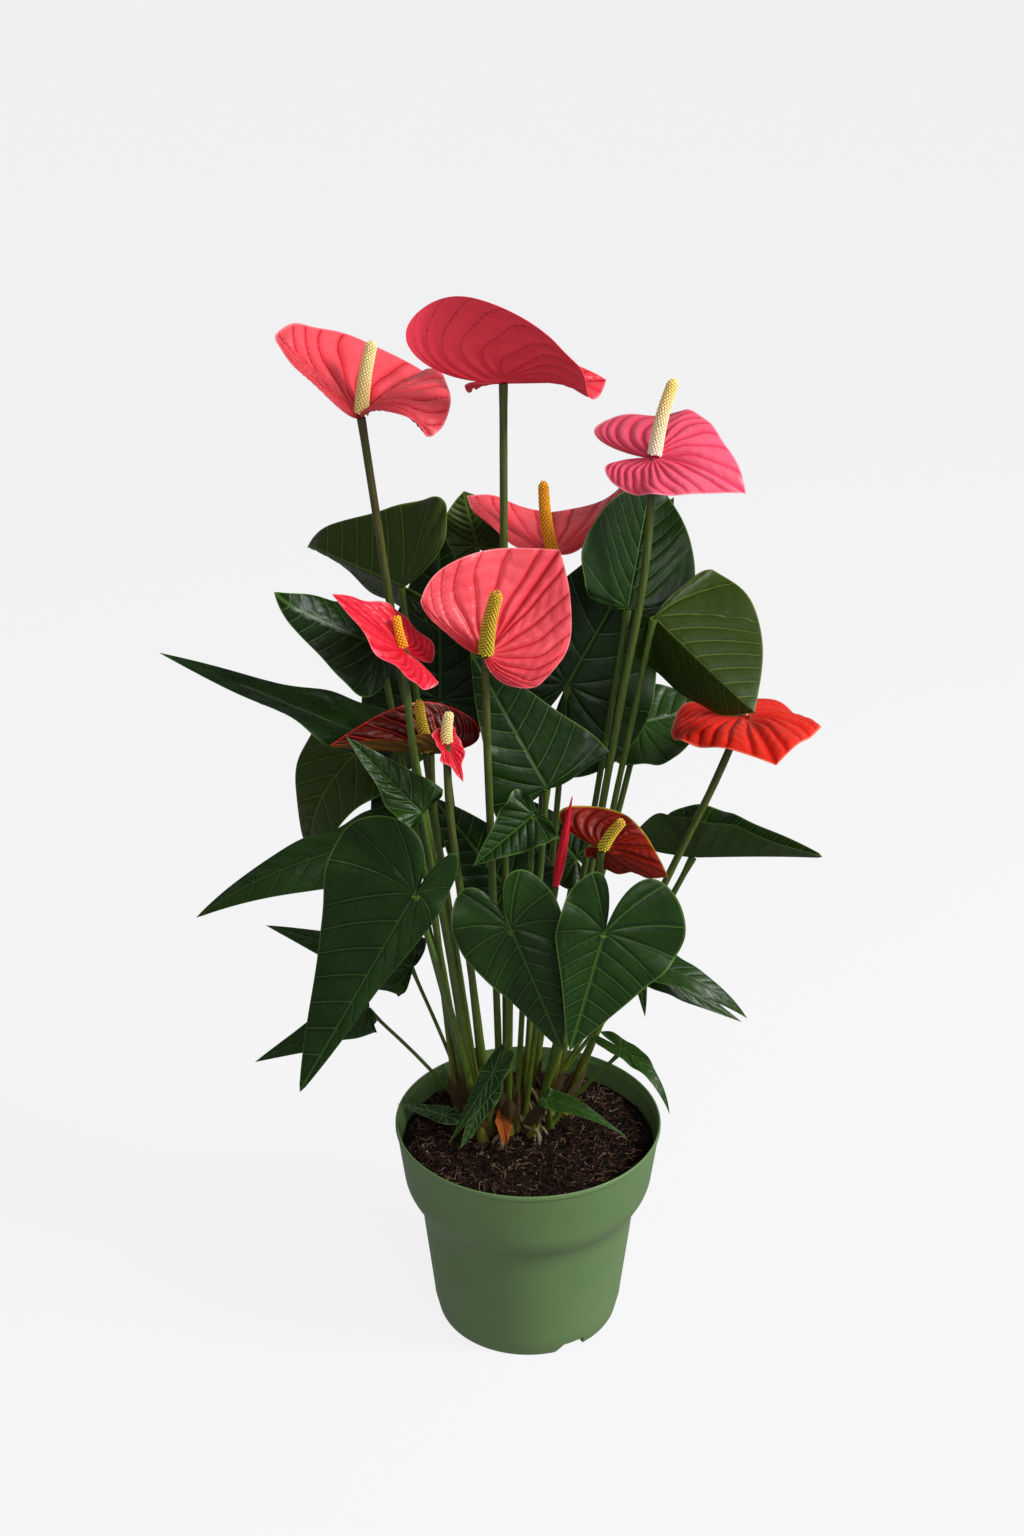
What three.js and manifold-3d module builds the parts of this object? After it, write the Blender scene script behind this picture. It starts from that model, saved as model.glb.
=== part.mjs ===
// A potted flamingo flower (anthurium) in its plastic grower's pot, as a scene graph of closed solids.
// Millimetres, +Z up. The origin is the centre of the pot's base, where the pot rests.
import * as THREE from 'three';
import { mergeVertices } from 'three/addons/utils/BufferGeometryUtils.js';
import Module from 'manifold-3d';

const wasm = await Module();
wasm.setup();

// ---- Driving dimensions ----

const GAP = 0.3; // left between pieces that touch
const SLIVER = 0.02; // cuts leave no triangles thinner than this
const RIM_RADIUS = 85; // a standard 17 cm pot
const POT_HEIGHT = 143;
const WALL = 1.6;
const BASE_RADIUS = 59;
const MIX_TOP = 129; // the watering space above it is 14 mm deep
const CROWN = { x: -13, y: 30, radius: 44, top: 133, depth: 40 };
const FOOT_SPREAD = 62; // the stems' feet gather towards the crown's centre, inside this radius
const FOOT_REACH = 95; // a flower or leaf this far out has its foot at half of that radius
const BLADE = { thickness: 1.3, segments: 18 };
const PETIOLE_RADIUS = 1.9;
const PEDUNCLE_RADIUS = 2.3;
const OFFSHOOT_STALK = 1.3;
const STEM_SIDES = 6;
const STEM_STEPS = 6;
const ROOM = { rounds: 60, clear: 1.2, smooth: 0.08 }; // how stems make way for one another
const HALF_WIDTH = 0.4; // half of a blade's breadth, in chords: curls are stated over this distance

// Outlines of a blade around its stalk's attachment, in chords (attachment to tip).
// side: radius of the flanks. point: how slowly the outline leaves the drawn-out tip, in radians.
// lobe: extra radius of the rear lobes. notch: width of the cleft between them, in radians.
const LEAF_OUTLINE = { side: 0.36, point: 0.34, lobe: 0.1, notch: 0.22 };
const SPATHE_OUTLINE = { side: 0.5, point: 0.42, lobe: 0, notch: 0.22 };
const ROUND_OUTLINE = { side: 0.75, point: 0.42, lobe: 0, notch: 1.2 };

// ---- Small geometry helpers ----

const vec = (p) => new THREE.Vector3(...p);

function solid(geometry) {
  geometry.deleteAttribute('uv');
  geometry.deleteAttribute('normal');
  const merged = mergeVertices(geometry, 1e-4);
  const index = merged.index.array;
  const faces = [];
  for (let i = 0; i < index.length; i += 3) {
    const [a, b, c] = index.slice(i, i + 3);
    if (a !== b && b !== c && c !== a) faces.push(a, b, c); // a pole's quads close to triangles
  }
  return new wasm.Manifold(new wasm.Mesh({
    numProp: 3,
    vertProperties: merged.attributes.position.array,
    triVerts: new Uint32Array(faces),
  }));
}

function meshOf(name, body, look) {
  const made = body.simplify(SLIVER).getMesh();
  const geometry = new THREE.BufferGeometry();
  const places = new Float32Array(made.numVert * 3);
  for (let i = 0; i < made.numVert; i++) {
    places.set(made.vertProperties.subarray(i * made.numProp, i * made.numProp + 3), i * 3);
  }
  geometry.setAttribute('position', new THREE.BufferAttribute(places, 3));
  geometry.setIndex(new THREE.BufferAttribute(made.triVerts, 1));
  geometry.computeVertexNormals();
  const mesh = new THREE.Mesh(geometry, new THREE.MeshStandardMaterial({ metalness: 0, ...look }));
  mesh.name = name;
  return mesh;
}

// A lathe whose axis is turned from three.js's Y to Z.
function turned(profile, segments) {
  const points = profile.map(([r, z]) => new THREE.Vector2(r, z));
  return new THREE.LatheGeometry(points, segments).rotateX(Math.PI / 2);
}

function tube(curve, radius, sides = STEM_SIDES, steps = STEM_STEPS) {
  const section = new THREE.Shape();
  for (let i = 0; i < sides; i++) {
    const a = (i / sides) * 2 * Math.PI;
    const [x, y] = [radius * Math.cos(a), radius * Math.sin(a)];
    if (i) section.lineTo(x, y);
    else section.moveTo(x, y);
  }
  return new THREE.ExtrudeGeometry(section, { steps, extrudePath: curve });
}

// ---- Pot, mix and crown ----

const POT_OUTSIDE = [
  [BASE_RADIUS - 1.5, 0], [BASE_RADIUS, 1.5], [61.5, 13], [67.2, 64], [68.7, 78],
  [71.2, 87], [76.4, 95], [79.4, 102], [83, 130], [RIM_RADIUS, 139],
];
const POT_SEGMENTS = 32;
const FLOOR = { underside: 4, foot: 6, disc: 38 }; // it stands on a foot ring and a middle disc
const SLOTS = { count: 6, across: 8, along: 14 }; // drain holes between the disc and the foot ring
const NOTCHES = { count: 3, first: 0.5, width: 12, height: 6, slope: 7 }; // air gaps in the foot ring

function potInside(gap) {
  return POT_OUTSIDE.slice(2).map(([r, z]) => [r - WALL - gap, z]);
}

function pot() {
  const floorTop = FLOOR.underside + WALL;
  const outline = [
    [0, 0], [FLOOR.disc, 0], [FLOOR.disc + 2, FLOOR.underside],
    [BASE_RADIUS - FLOOR.foot - 2, FLOOR.underside], [BASE_RADIUS - FLOOR.foot, 0],
    ...POT_OUTSIDE, [RIM_RADIUS, POT_HEIGHT], [RIM_RADIUS - 1, POT_HEIGHT],
    ...potInside(0).reverse(), [BASE_RADIUS - WALL, floorTop + 3],
    [BASE_RADIUS - 5, floorTop], [0, floorTop],
  ];
  let body = solid(turned(outline, POT_SEGMENTS));
  for (let i = 0; i < SLOTS.count; i++) {
    const slot = new THREE.BoxGeometry(SLOTS.across, SLOTS.along, 3 * FLOOR.underside);
    slot.translate(FLOOR.disc + SLOTS.across, 0, FLOOR.underside);
    slot.rotateZ(((i + 0.5) / SLOTS.count) * 2 * Math.PI);
    body = body.subtract(solid(slot));
  }
  for (let i = 0; i < NOTCHES.count; i++) {
    const { first, width, height, slope } = NOTCHES;
    const side = new THREE.Shape();
    side.moveTo(-height - slope, -1);
    side.lineTo(width - 3, -1);
    side.lineTo(width - 3, height);
    side.lineTo(-height, height);
    const notch = new THREE.ExtrudeGeometry(side, { depth: width, bevelEnabled: false });
    notch.rotateX(Math.PI / 2);
    notch.translate(0, -(BASE_RADIUS - 9), 0);
    notch.rotateZ(first + (i / NOTCHES.count) * 2 * Math.PI);
    body = body.subtract(solid(notch));
  }
  return meshOf('pot', body, { color: '#64854f', roughness: 0.55 });
}

function crownSolid(gap) {
  const { x, y, radius, top, depth } = CROWN;
  const bottom = top - depth - gap;
  const profile = [
    [0, bottom], [radius * 0.6, bottom], [radius + gap, MIX_TOP - 10], [radius + gap, top - 3 + gap],
    [radius - 2, top + gap], [0, top + gap],
  ];
  return solid(turned(profile, 20).translate(x, y, 0));
}

function mix() {
  const low = FLOOR.underside + WALL + GAP;
  const inside = potInside(GAP).filter(([, z]) => z < MIX_TOP - 4);
  const [lastRadius] = inside[inside.length - 1];
  const profile = [
    [0, low], [BASE_RADIUS - 8, low], [BASE_RADIUS - WALL - 1, low + 5],
    ...inside, [lastRadius + 2.2, MIX_TOP - 3], [lastRadius - 12, MIX_TOP], [0, MIX_TOP],
  ];
  const body = solid(turned(profile, POT_SEGMENTS)).subtract(crownSolid(GAP));
  return meshOf('potting_mix', body, { color: '#1e140d', roughness: 1 });
}

// ---- Blades: leaves and spathes are one heart-shaped form, bent ----

// Radius of the outline at an angle from the tip.
function outlineRadius(angle, { side, point, lobe, notch }) {
  const a = Math.abs(angle);
  const flank = side + (lobe * (1 - Math.cos(a))) / 2;
  const reach = flank + (1 - flank) * Math.exp(-a / point);
  const cleft = 1 - Math.exp(-(((Math.PI - a) / notch) ** 1.5));
  return Math.max(reach * cleft, 0.035);
}

// The bent surface. s runs along the chord and t across it, to the left, both in chords.
// left and right are [fold, curl]: the slope at the midrib and what it gains out to HALF_WIDTH.
function surfacePoint(blade, frame, s, t) {
  const { arch = 0, flick = 0, twist = 0, left = [0, 0], right = [0, 0] } = blade;
  const [fold, curl] = t >= 0 ? left : right;
  const out = Math.abs(t);
  const turn = curl / HALF_WIDTH;
  const slope = fold + turn * out;
  const straight = Math.abs(turn) < 1e-3;
  const across = straight ? out * Math.cos(fold) : (Math.sin(slope) - Math.sin(fold)) / turn;
  const lift = straight ? out * Math.sin(fold) : (Math.cos(fold) - Math.cos(slope)) / turn;
  const y = Math.sign(t) * across * Math.cos(twist * s) - lift * Math.sin(twist * s);
  const z = Math.sign(t) * across * Math.sin(twist * s) + lift * Math.cos(twist * s);
  const end = Math.max(0, s - 0.7) / 0.3;
  const bow = (s > 0 ? 4 * arch * s * (1 - s) : 4 * arch * s) + flick * end * end;
  const pitch = Math.atan(s > 0 ? 4 * arch * (1 - 2 * s) : 4 * arch);
  const { origin, along, leftward, upward, chord } = frame;
  return origin.clone()
    .addScaledVector(along, chord * (s - z * Math.sin(pitch)))
    .addScaledVector(leftward, chord * y)
    .addScaledVector(upward, chord * (bow + z * Math.cos(pitch)));
}

function bladeFrame({ base, tip, face }) {
  const origin = vec(base);
  const along = vec(tip).sub(origin);
  const chord = along.length();
  along.normalize();
  const upward = vec(face).addScaledVector(along, -vec(face).dot(along)).normalize();
  const leftward = upward.clone().cross(along);
  return { origin, along, upward, leftward, chord };
}

// broad and lobes are [left, right]: how each half's breadth and rear lobe are stretched.
function bladeSolid(blade, usual) {
  const { thickness, segments } = BLADE;
  const frame = bladeFrame(blade);
  const { broad = [1, 1], lobes = [1, 1], outline = usual } = blade;
  const half = thickness / 2;
  const disc = new THREE.LatheGeometry(
    [[0, -half], [0.5, -half], [1, 0], [0.5, half], [0, half]].map(([r, h]) => new THREE.Vector2(r, h)),
    segments,
  );
  const place = disc.attributes.position;
  const step = 0.01;
  for (let i = 0; i < place.count; i++) {
    const [x, h, z] = [place.getX(i), place.getY(i), place.getZ(i)];
    const round = Math.atan2(x, z);
    const angle = round - 0.3 * Math.sin(2 * round); // closer together at the tip and the cleft
    const radius = Math.hypot(x, z) * outlineRadius(angle, outline);
    const side = angle >= 0 ? 0 : 1;
    const t = radius * Math.sin(angle) * broad[side];
    let s = radius * Math.cos(angle);
    if (s < 0) s *= lobes[side];
    const at = surfacePoint(blade, frame, s, t);
    const ahead = surfacePoint(blade, frame, s + step, t).sub(surfacePoint(blade, frame, s - step, t));
    const aside = surfacePoint(blade, frame, s, t + step).sub(surfacePoint(blade, frame, s, t - step));
    const normal = ahead.cross(aside).normalize();
    at.addScaledVector(normal, h);
    place.setXYZ(i, at.x, at.y, at.z);
  }
  const body = solid(disc);
  return body.volume() < 0 ? solid(flipped(disc)) : body;
}

function flipped(geometry) {
  const index = geometry.index.array;
  for (let i = 0; i < index.length; i += 3) {
    [index[i + 1], index[i + 2]] = [index[i + 2], index[i + 1]];
  }
  return geometry;
}

// ---- Stems ----

const UP = new THREE.Vector3(0, 0, 1);

// The foot lies towards the crown's centre from what the stem carries, so stems fan out uncrossed.
function footOf({ base, foot }) {
  if (foot) return new THREE.Vector3(...foot, CROWN.top - 2);
  const [dx, dy] = [base[0] - CROWN.x, base[1] - CROWN.y];
  const scale = FOOT_SPREAD / (Math.hypot(dx, dy) + FOOT_REACH);
  return new THREE.Vector3(CROWN.x + dx * scale, CROWN.y + dy * scale, CROWN.top - 2);
}

// Points along a stem that has room: it leaves the crown nearly upright and bends over to its base.
function freeStem(grown) {
  const foot = footOf(grown);
  const end = vec(grown.base);
  const reach = end.clone().sub(foot);
  const length = reach.length();
  reach.normalize();
  const start = UP.clone().multiplyScalar(0.7).addScaledVector(reach, 0.6).normalize();
  const arrive = grown.arrive ? vec(grown.arrive) : reach.clone().addScaledVector(UP, 0.1);
  return new THREE.CubicBezierCurve3(
    foot,
    foot.clone().addScaledVector(start, length * 0.35),
    end.clone().addScaledVector(arrive.normalize(), -length * 0.3),
    end,
  ).getPoints(STEM_STEPS);
}

// The closest points of two straight stretches, as shares of their lengths.
function closestShares(a, b, c, d) {
  const [u, v, w] = [b.clone().sub(a), d.clone().sub(c), a.clone().sub(c)];
  const [uu, uv, vv, uw, vw] = [u.dot(u), u.dot(v), v.dot(v), u.dot(w), v.dot(w)];
  const clamp = (x) => Math.min(1, Math.max(0, x));
  const flat = uu * vv - uv * uv;
  const first = flat > 1e-6 ? clamp((uv * vw - vv * uw) / flat) : 0.5;
  const second = clamp((uv * first + vw) / vv);
  return [clamp((uv * second - uw) / uu), second];
}

// Stems that grow through one another push each other aside, and each keeps its smooth line.
function makeRoom(stems) {
  for (let round = 0; round < ROOM.rounds; round++) {
    stems.forEach((one, i) => stems.slice(i + 1).forEach((other) => pushApart(one, other)));
    for (const { points } of stems) {
      for (let k = 1; k < points.length - 2; k++) {
        const middle = points[k - 1].clone().add(points[k + 1]).multiplyScalar(0.5);
        points[k].lerp(middle, ROOM.smooth);
      }
    }
  }
}

function pushApart(one, other) {
  if (one.clump && one.clump === other.clump) return; // stalks of one shoot grow together
  const need = one.radius + other.radius + ROOM.clear;
  for (let i = 0; i < STEM_STEPS; i++) {
    for (let j = 0; j < STEM_STEPS; j++) {
      const [a, b, c, d] = [one.points[i], one.points[i + 1], other.points[j], other.points[j + 1]];
      if (Math.max(a.z, b.z) < Math.min(c.z, d.z) - need) continue;
      if (Math.max(c.z, d.z) < Math.min(a.z, b.z) - need) continue;
      const [s, t] = closestShares(a, b, c, d);
      const apart = a.clone().lerp(b, s).sub(c.clone().lerp(d, t));
      const distance = apart.length();
      if (distance >= need) continue;
      apart.setZ(0);
      if (apart.length() < 1e-3) apart.set(0, 1, 0);
      apart.setLength((need - distance) * 0.5);
      shift(one.points, i, s, apart);
      shift(other.points, j, t, apart.negate());
    }
  }
}

// Moves a stretch's two ends sideways by their share, but not the last stretch, which holds the blade.
function shift(points, i, share, by) {
  const last = points.length - 2;
  if (i < last) points[i].addScaledVector(by, 1 - share);
  if (i + 1 < last) points[i + 1].addScaledVector(by, share);
}

// The tube starts inside the crown, which is then cut away, so its foot stands flat on the crown.
function stemTube(points, radius) {
  return solid(tube(new THREE.CatmullRomCurve3(points), radius)).subtract(crownSolid(GAP));
}

function leafSolid(leaf, points) {
  return stemTube(points, leaf.stalk ?? PETIOLE_RADIUS).add(bladeSolid(leaf, LEAF_OUTLINE));
}

// ---- The plant ----

const FLOWERS = [
  { name: 'flower_left_tall', base: [-93, 0, 600], tip: [-58, 62, 606], face: [0.1, -0.3, 0.95],
    broad: [1.75, 1.5], lobes: [0.3, 0.2], left: [0.5, 0], right: [1.1, -1], arch: 0.05,
    spadix: { to: [-86, 10, 640], radius: 4 }, colour: '#d8485a', arrive: [-0.1, -0.1, 1] },
  { name: 'flower_mid_tall', base: [-15, 0, 619], tip: [42, 24, 614], face: [0, 0, 1],
    broad: [1, 2], lobes: [0.6, 2.2], left: [-0.2, 0], right: [0.6, 0], twist: 1,
    spadix: { to: [-24, 20, 648], radius: 3.4 }, colour: '#d8384c', arrive: [0, 0, 1] },
  { name: 'flower_right_tall', base: [68, 0, 577], tip: [117, -15, 560], face: [0.2, -0.6, 0.77],
    broad: [1.5, 0.9], lobes: [1.7, 1], left: [0.2, -0.3], right: [-0.1, -0.2], arch: 0.12,
    spadix: { to: [79, 10, 619], radius: 4 }, colour: '#e6607a', arrive: [0, 0, 1] },
  { name: 'flower_left_small', base: [-70, -43, 480], tip: [-107, -63, 519], face: [0.75, -0.25, 0.6],
    broad: [0.8, 0.8], left: [0.1, 0], right: [0.1, 0],
    spadix: { to: [-74, -41, 500], radius: 2.8 }, colour: '#d82a3e', arrive: [0, -0.15, 1] },
  { name: 'flower_centre_large', base: [-25, -40, 476], tip: [17, -14, 529], face: [0, -0.9, 0.45],
    outline: ROUND_OUTLINE, broad: [1.1, 0.85], lobes: [0.3, 0.5], left: [0.1, 0.2], right: [0.15, 0.2],
    arch: -0.05, spadix: { to: [-18, -54, 518], radius: 4.4 }, colour: '#d8424c', arrive: [0, -0.2, 1] },
  { name: 'flower_back', base: [14, 58, 502], tip: [14, 118, 510], face: [0, -0.25, 0.95],
    outline: ROUND_OUTLINE, broad: [1.6, 1.75], lobes: [0.3, 0.3], left: [0.3, 0.2], right: [0.3, 0.25],
    spadix: { to: [8, 63, 546], radius: 3.8 }, colour: '#d84c56', arrive: [0, 0, 1] },
  { name: 'flower_left_dark', base: [-58, -11, 404], tip: [-115, -28, 415], face: [0, -0.1, 1],
    broad: [0.75, 0.95], lobes: [0.5, 1.2], left: [0.7, 0.4], right: [0.8, 0.3],
    spadix: { to: [-64, -15, 439], radius: 3.4 }, colour: '#6e1f22', arrive: [0, 0, 1] },
  { name: 'flower_young', base: [-47, -52, 427], tip: [-38, -60, 407], face: [0.7, -0.6, 0.3],
    broad: [0.8, 0.8], left: [0.2, 0], right: [0.2, 0],
    spadix: { to: [-45, -52, 447], radius: 3.4 }, colour: '#d63048', arrive: [0, 0, 1] },
  { name: 'flower_right_low', base: [125, 0, 422], tip: [138, -52, 413], face: [0, -0.1, 1],
    broad: [1.7, 1.6], lobes: [1.5, 1.6], left: [0.1, -0.3], right: [0.1, -0.3], arch: 0.08,
    spadix: { to: [125, 5, 446], radius: 3.4 }, colour: '#dc3a34', arrive: [0.3, 0, 1] },
  { name: 'flower_front_low', base: [41, -52, 361], tip: [78, -72, 354], face: [0, -0.8, 0.6],
    broad: [1.1, 0.8], lobes: [1.8, 0.6], left: [0, 0.1], right: [-1.2, 0],
    spadix: { to: [53, -58, 383], radius: 3.4 }, colour: '#8e2a1e', arrive: [0, -0.2, 1] },
];

const LEAVES = [
  { name: 'leaf_left_top', base: [-74, 20, 495], tip: [-143, 80, 504], face: [0, -0.9, 0.45],
    broad: [0.9, 1.45], lobes: [0.5, 0.4], left: [-1.3, 0], right: [0.1, 0], flick: -0.15 },
  { name: 'leaf_left_back', base: [-55, 72, 403], tip: [-55, 100, 506], face: [0, -1, 0.3],
    broad: [1.1, 1.1], lobes: [0.5, 0.5] },
  { name: 'leaf_left_curled', base: [-86, -4, 467], tip: [-147, -22, 504], face: [0, -0.7, 0.7],
    lobes: [0.4, 0.2], left: [-0.3, 0], right: [-0.3, 0], flick: 0.1 },
  { name: 'leaf_left_long', base: [-86, 14, 398], tip: [-217, 20, 454], face: [0, -0.3, 0.95],
    broad: [0.42, 0.42], lobes: [0.1, 0.1], left: [0.2, 0], right: [0.2, 0] },
  { name: 'leaf_left_hanging', base: [-92, 60, 386], tip: [-128, 51, 286], face: [-0.6, -0.7, 0.4],
    broad: [0.92, 0.92], lobes: [0.1, 0.1], arch: 0.3 },
  { name: 'leaf_left_low_long', base: [-76, -8, 346], tip: [-199, -20, 299], face: [0, -0.5, 0.85],
    broad: [0.55, 0.55], lobes: [0.1, 0.1], arch: 0.12, left: [-0.3, 0], right: [-0.3, 0] },
  { name: 'leaf_front_left', base: [-65, -78, 346], tip: [-133, -95, 226], face: [-0.25, -0.9, 0.35],
    broad: [0.3, 0.95], lobes: [0.6, 0.6], left: [-0.4, 0] },
  { name: 'leaf_left_funnel', base: [-62, -50, 384], tip: [-104, -44, 428], face: [0, -0.7, 0.7],
    broad: [0.6, 0.7], lobes: [0.1, 0.1], left: [0.2, 0], right: [0.2, 0] },
  { name: 'leaf_left_shaded', base: [-66, 30, 352], tip: [-100, 32, 284], face: [0, -1, 0.3],
    lobes: [0.1, 0.1] },
  { name: 'leaf_centre_upright', base: [10, -12, 382], tip: [-34, 0, 462], face: [0, -0.8, 0.5],
    broad: [0.9, 1.1], lobes: [0.1, 0.1] },
  { name: 'leaf_centre_small', base: [2, -38, 376], tip: [-33, -52, 350], face: [0, -0.9, 0.4],
    lobes: [0.3, 0.3], left: [0.3, 0], right: [0.3, 0] },
  { name: 'leaf_centre_inner', base: [-14, 20, 300], tip: [-58, 20, 360], face: [0, -0.9, 0.4] },
  { name: 'leaf_front_middle', base: [-11, -64, 316], tip: [20, -76, 240], face: [-0.1, -0.9, 0.4],
    broad: [0.9, 0.95] },
  { name: 'leaf_front_right', base: [42, -77, 320], tip: [23, -92, 250], face: [0.15, -0.9, 0.4],
    broad: [1.5, 0.9], lobes: [1.3, 1.2] },
  { name: 'leaf_right_large', base: [23, 40, 426], tip: [85, 62, 536], face: [0, -1, 0.3] },
  { name: 'leaf_right_top', base: [57, 20, 482], tip: [72, 60, 552], face: [0, -0.9, 0.4],
    outline: ROUND_OUTLINE, broad: [1, 0.7], lobes: [0.2, 0.2], left: [0.9, 0] },
  { name: 'leaf_right_winged', base: [71, 3, 482], tip: [127, -38, 438], face: [0.2, -0.8, 0.6],
    outline: ROUND_OUTLINE, lobes: [0.2, 0.2], left: [0, 0], right: [-1.5, 0] },
  { name: 'leaf_right_back', base: [69, 60, 392], tip: [137, 90, 395], face: [0, -0.6, 0.8] },
  { name: 'leaf_right_folded', base: [101, 20, 320], tip: [173, -20, 342], face: [0, 0.1, 1],
    left: [0.8, 0], right: [1.1, 0] },
  { name: 'leaf_left_low', base: [-103, 30, 206], tip: [-177, 30, 165], face: [0, -0.5, 0.8],
    broad: [0.5, 0.5], lobes: [0.1, 0.1], stalk: 1.2 },
  { name: 'leaf_left_low_back', base: [-74, 20, 243], tip: [-168, 50, 255], face: [0, -0.4, 0.9],
    broad: [0.6, 0.6], lobes: [0.1, 0.1], stalk: 1.2 },
  { name: 'leaf_back_centre', base: [31, 80, 289], tip: [1, 100, 321], face: [0, -0.9, 0.4], stalk: 1.4 },
  { name: 'leaf_back_top', base: [-32, 112, 490], tip: [-40, 116, 524], face: [0, -0.9, 0.4],
    outline: ROUND_OUTLINE, stalk: 1.4 },
];

const BUD = { name: 'flower_bud', base: [15, -42, 332], tip: [24, -42, 389], radius: 3.8 };

// Young shoots: small leaves on thin stalks that share one foot.
const OFFSHOOTS = [
  { name: 'offshoot_front', foot: [-25, 0], leaves: [
    { base: [-22, -34, 198], tip: [-48, -52, 160], face: [-0.5, -0.8, 0.3], broad: [0.6, 0.6] },
    { base: [-26, -28, 178], tip: [-42, -44, 150], face: [-0.3, -0.9, 0.3], broad: [0.8, 0.8] },
    { base: [-54, -12, 153], tip: [-83, -10, 160], face: [0, -0.7, 0.7], broad: [0.7, 0.7] }] },
  { name: 'offshoot_right', foot: [14, 8], leaves: [
    { base: [60, 0, 194], tip: [88, -26, 163], face: [0.3, -0.5, 0.8], broad: [0.6, 0.6], arch: 0.2 },
    { base: [12, -34, 180], tip: [60, -52, 164], face: [0.2, -0.5, 0.8],
      broad: [0.5, 0.5], lobes: [0.2, 0.2], arch: 0.1 }] },
  { name: 'offshoot_back_right', foot: [16, 52], leaves: [
    { base: [84, 66, 218], tip: [145, 60, 180], face: [0.3, -0.5, 0.8], broad: [0.7, 0.7], arch: 0.1 },
    { base: [80, 76, 208], tip: [144, 78, 166], face: [0.3, -0.5, 0.8], broad: [0.6, 0.6] },
    { base: [72, 56, 226], tip: [77, 52, 186], face: [0, -0.9, 0.3], broad: [0.6, 0.6] }] },
];

// A tapering club, set with its flat end on the spathe.
function spadixSolid({ base, spadix }, gap) {
  const from = vec(base);
  const axis = vec(spadix.to).sub(from);
  const length = axis.length();
  axis.normalize();
  const r = spadix.radius + gap;
  const start = BLADE.thickness / 2 + GAP - gap;
  const profile = [
    [0, start], [r * 0.85, start], [r, length * 0.2], [r * 0.82, length * 0.75], [r * 0.5, length * 0.96],
    [0, length + gap],
  ];
  const club = turned(profile, 8);
  club.applyQuaternion(new THREE.Quaternion().setFromUnitVectors(UP, axis));
  return solid(club.translate(...base));
}

function flowerMeshes(flower, points) {
  const below = BLADE.thickness / 2 + 1 + GAP; // how far under the spathe the stem ends
  const last = points.length - 1;
  const arrive = points[last].clone().sub(points[last - 1]).normalize();
  const stem = (radius, inset) => {
    const end = points[last].clone().addScaledVector(arrive, -inset);
    return stemTube([...points.slice(0, last), end], radius);
  };
  const spathe = bladeSolid(flower, SPATHE_OUTLINE)
    .subtract(spadixSolid(flower, GAP))
    .subtract(stem(PEDUNCLE_RADIUS + GAP, below - GAP));
  return [
    meshOf(flower.name + '_stem', stem(PEDUNCLE_RADIUS, below), { color: '#4b5a22', roughness: 0.6 }),
    meshOf(flower.name + '_spathe', spathe, { color: flower.colour, roughness: 0.3 }),
    meshOf(flower.name + '_spadix', spadixSolid(flower, 0), { color: '#e2b85e', roughness: 0.7 }),
  ];
}

function budSolid({ base, tip, radius }, points) {
  const from = vec(base);
  const axis = vec(tip).sub(from);
  const length = axis.length();
  const profile = [
    [0, -3], [radius * 0.6, -3], [radius, length * 0.25], [radius * 0.6, length * 0.7], [0, length],
  ];
  const furled = turned(profile, 8);
  furled.applyQuaternion(new THREE.Quaternion().setFromUnitVectors(UP, axis.normalize()));
  return stemTube(points, PETIOLE_RADIUS).add(solid(furled.translate(...base)));
}

function offshootSolid({ leaves }, stalks) {
  return leaves.map((leaf, i) => leafSolid({ ...leaf, stalk: OFFSHOOT_STALK }, stalks[i].points))
    .reduce((whole, next) => whole.add(next));
}

function stemOf(grown, radius, clump) {
  return { points: freeStem(grown), radius, clump };
}

const flowerStems = FLOWERS.map((flower) => stemOf(flower, PEDUNCLE_RADIUS));
const leafStems = LEAVES.map((leaf) => stemOf(leaf, leaf.stalk ?? PETIOLE_RADIUS));
const budStem = stemOf(BUD, PETIOLE_RADIUS);
const shootStems = OFFSHOOTS.map(({ name, foot, leaves }) => (
  leaves.map((leaf) => stemOf({ ...leaf, foot }, OFFSHOOT_STALK, name))));
makeRoom([...flowerStems, ...leafStems, budStem, ...shootStems.flat()]);

const LEAF_LOOK = { color: '#1d4020', roughness: 0.35 };
const plant = new THREE.Group();
FLOWERS.forEach((flower, i) => plant.add(...flowerMeshes(flower, flowerStems[i].points)));
plant.add(meshOf(BUD.name, budSolid(BUD, budStem.points), { color: '#c22a3c', roughness: 0.35 }));
LEAVES.forEach((leaf, i) => {
  plant.add(meshOf(leaf.name, leafSolid(leaf, leafStems[i].points), LEAF_LOOK));
});
OFFSHOOTS.forEach((shoot, i) => {
  plant.add(meshOf(shoot.name, offshootSolid(shoot, shootStems[i]), LEAF_LOOK));
});

const group = new THREE.Group();
group.add(pot(), mix(), meshOf('rootstock', crownSolid(0), { color: '#4a3a22', roughness: 0.9 }), plant);
export default group;
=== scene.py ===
# %% [markdown]
# # A potted flamingo flower
# An anthurium in a moulded grower's pot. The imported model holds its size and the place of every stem,
# leaf and flower. This lesson grows each of them again with finer detail, from two simple rules: a
# heart-shaped outline bent in space, and a stem that curves up out of the crown.

# %% Load the fixed frame
import math
import bpy
import numpy as np
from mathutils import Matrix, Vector, noise


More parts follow.
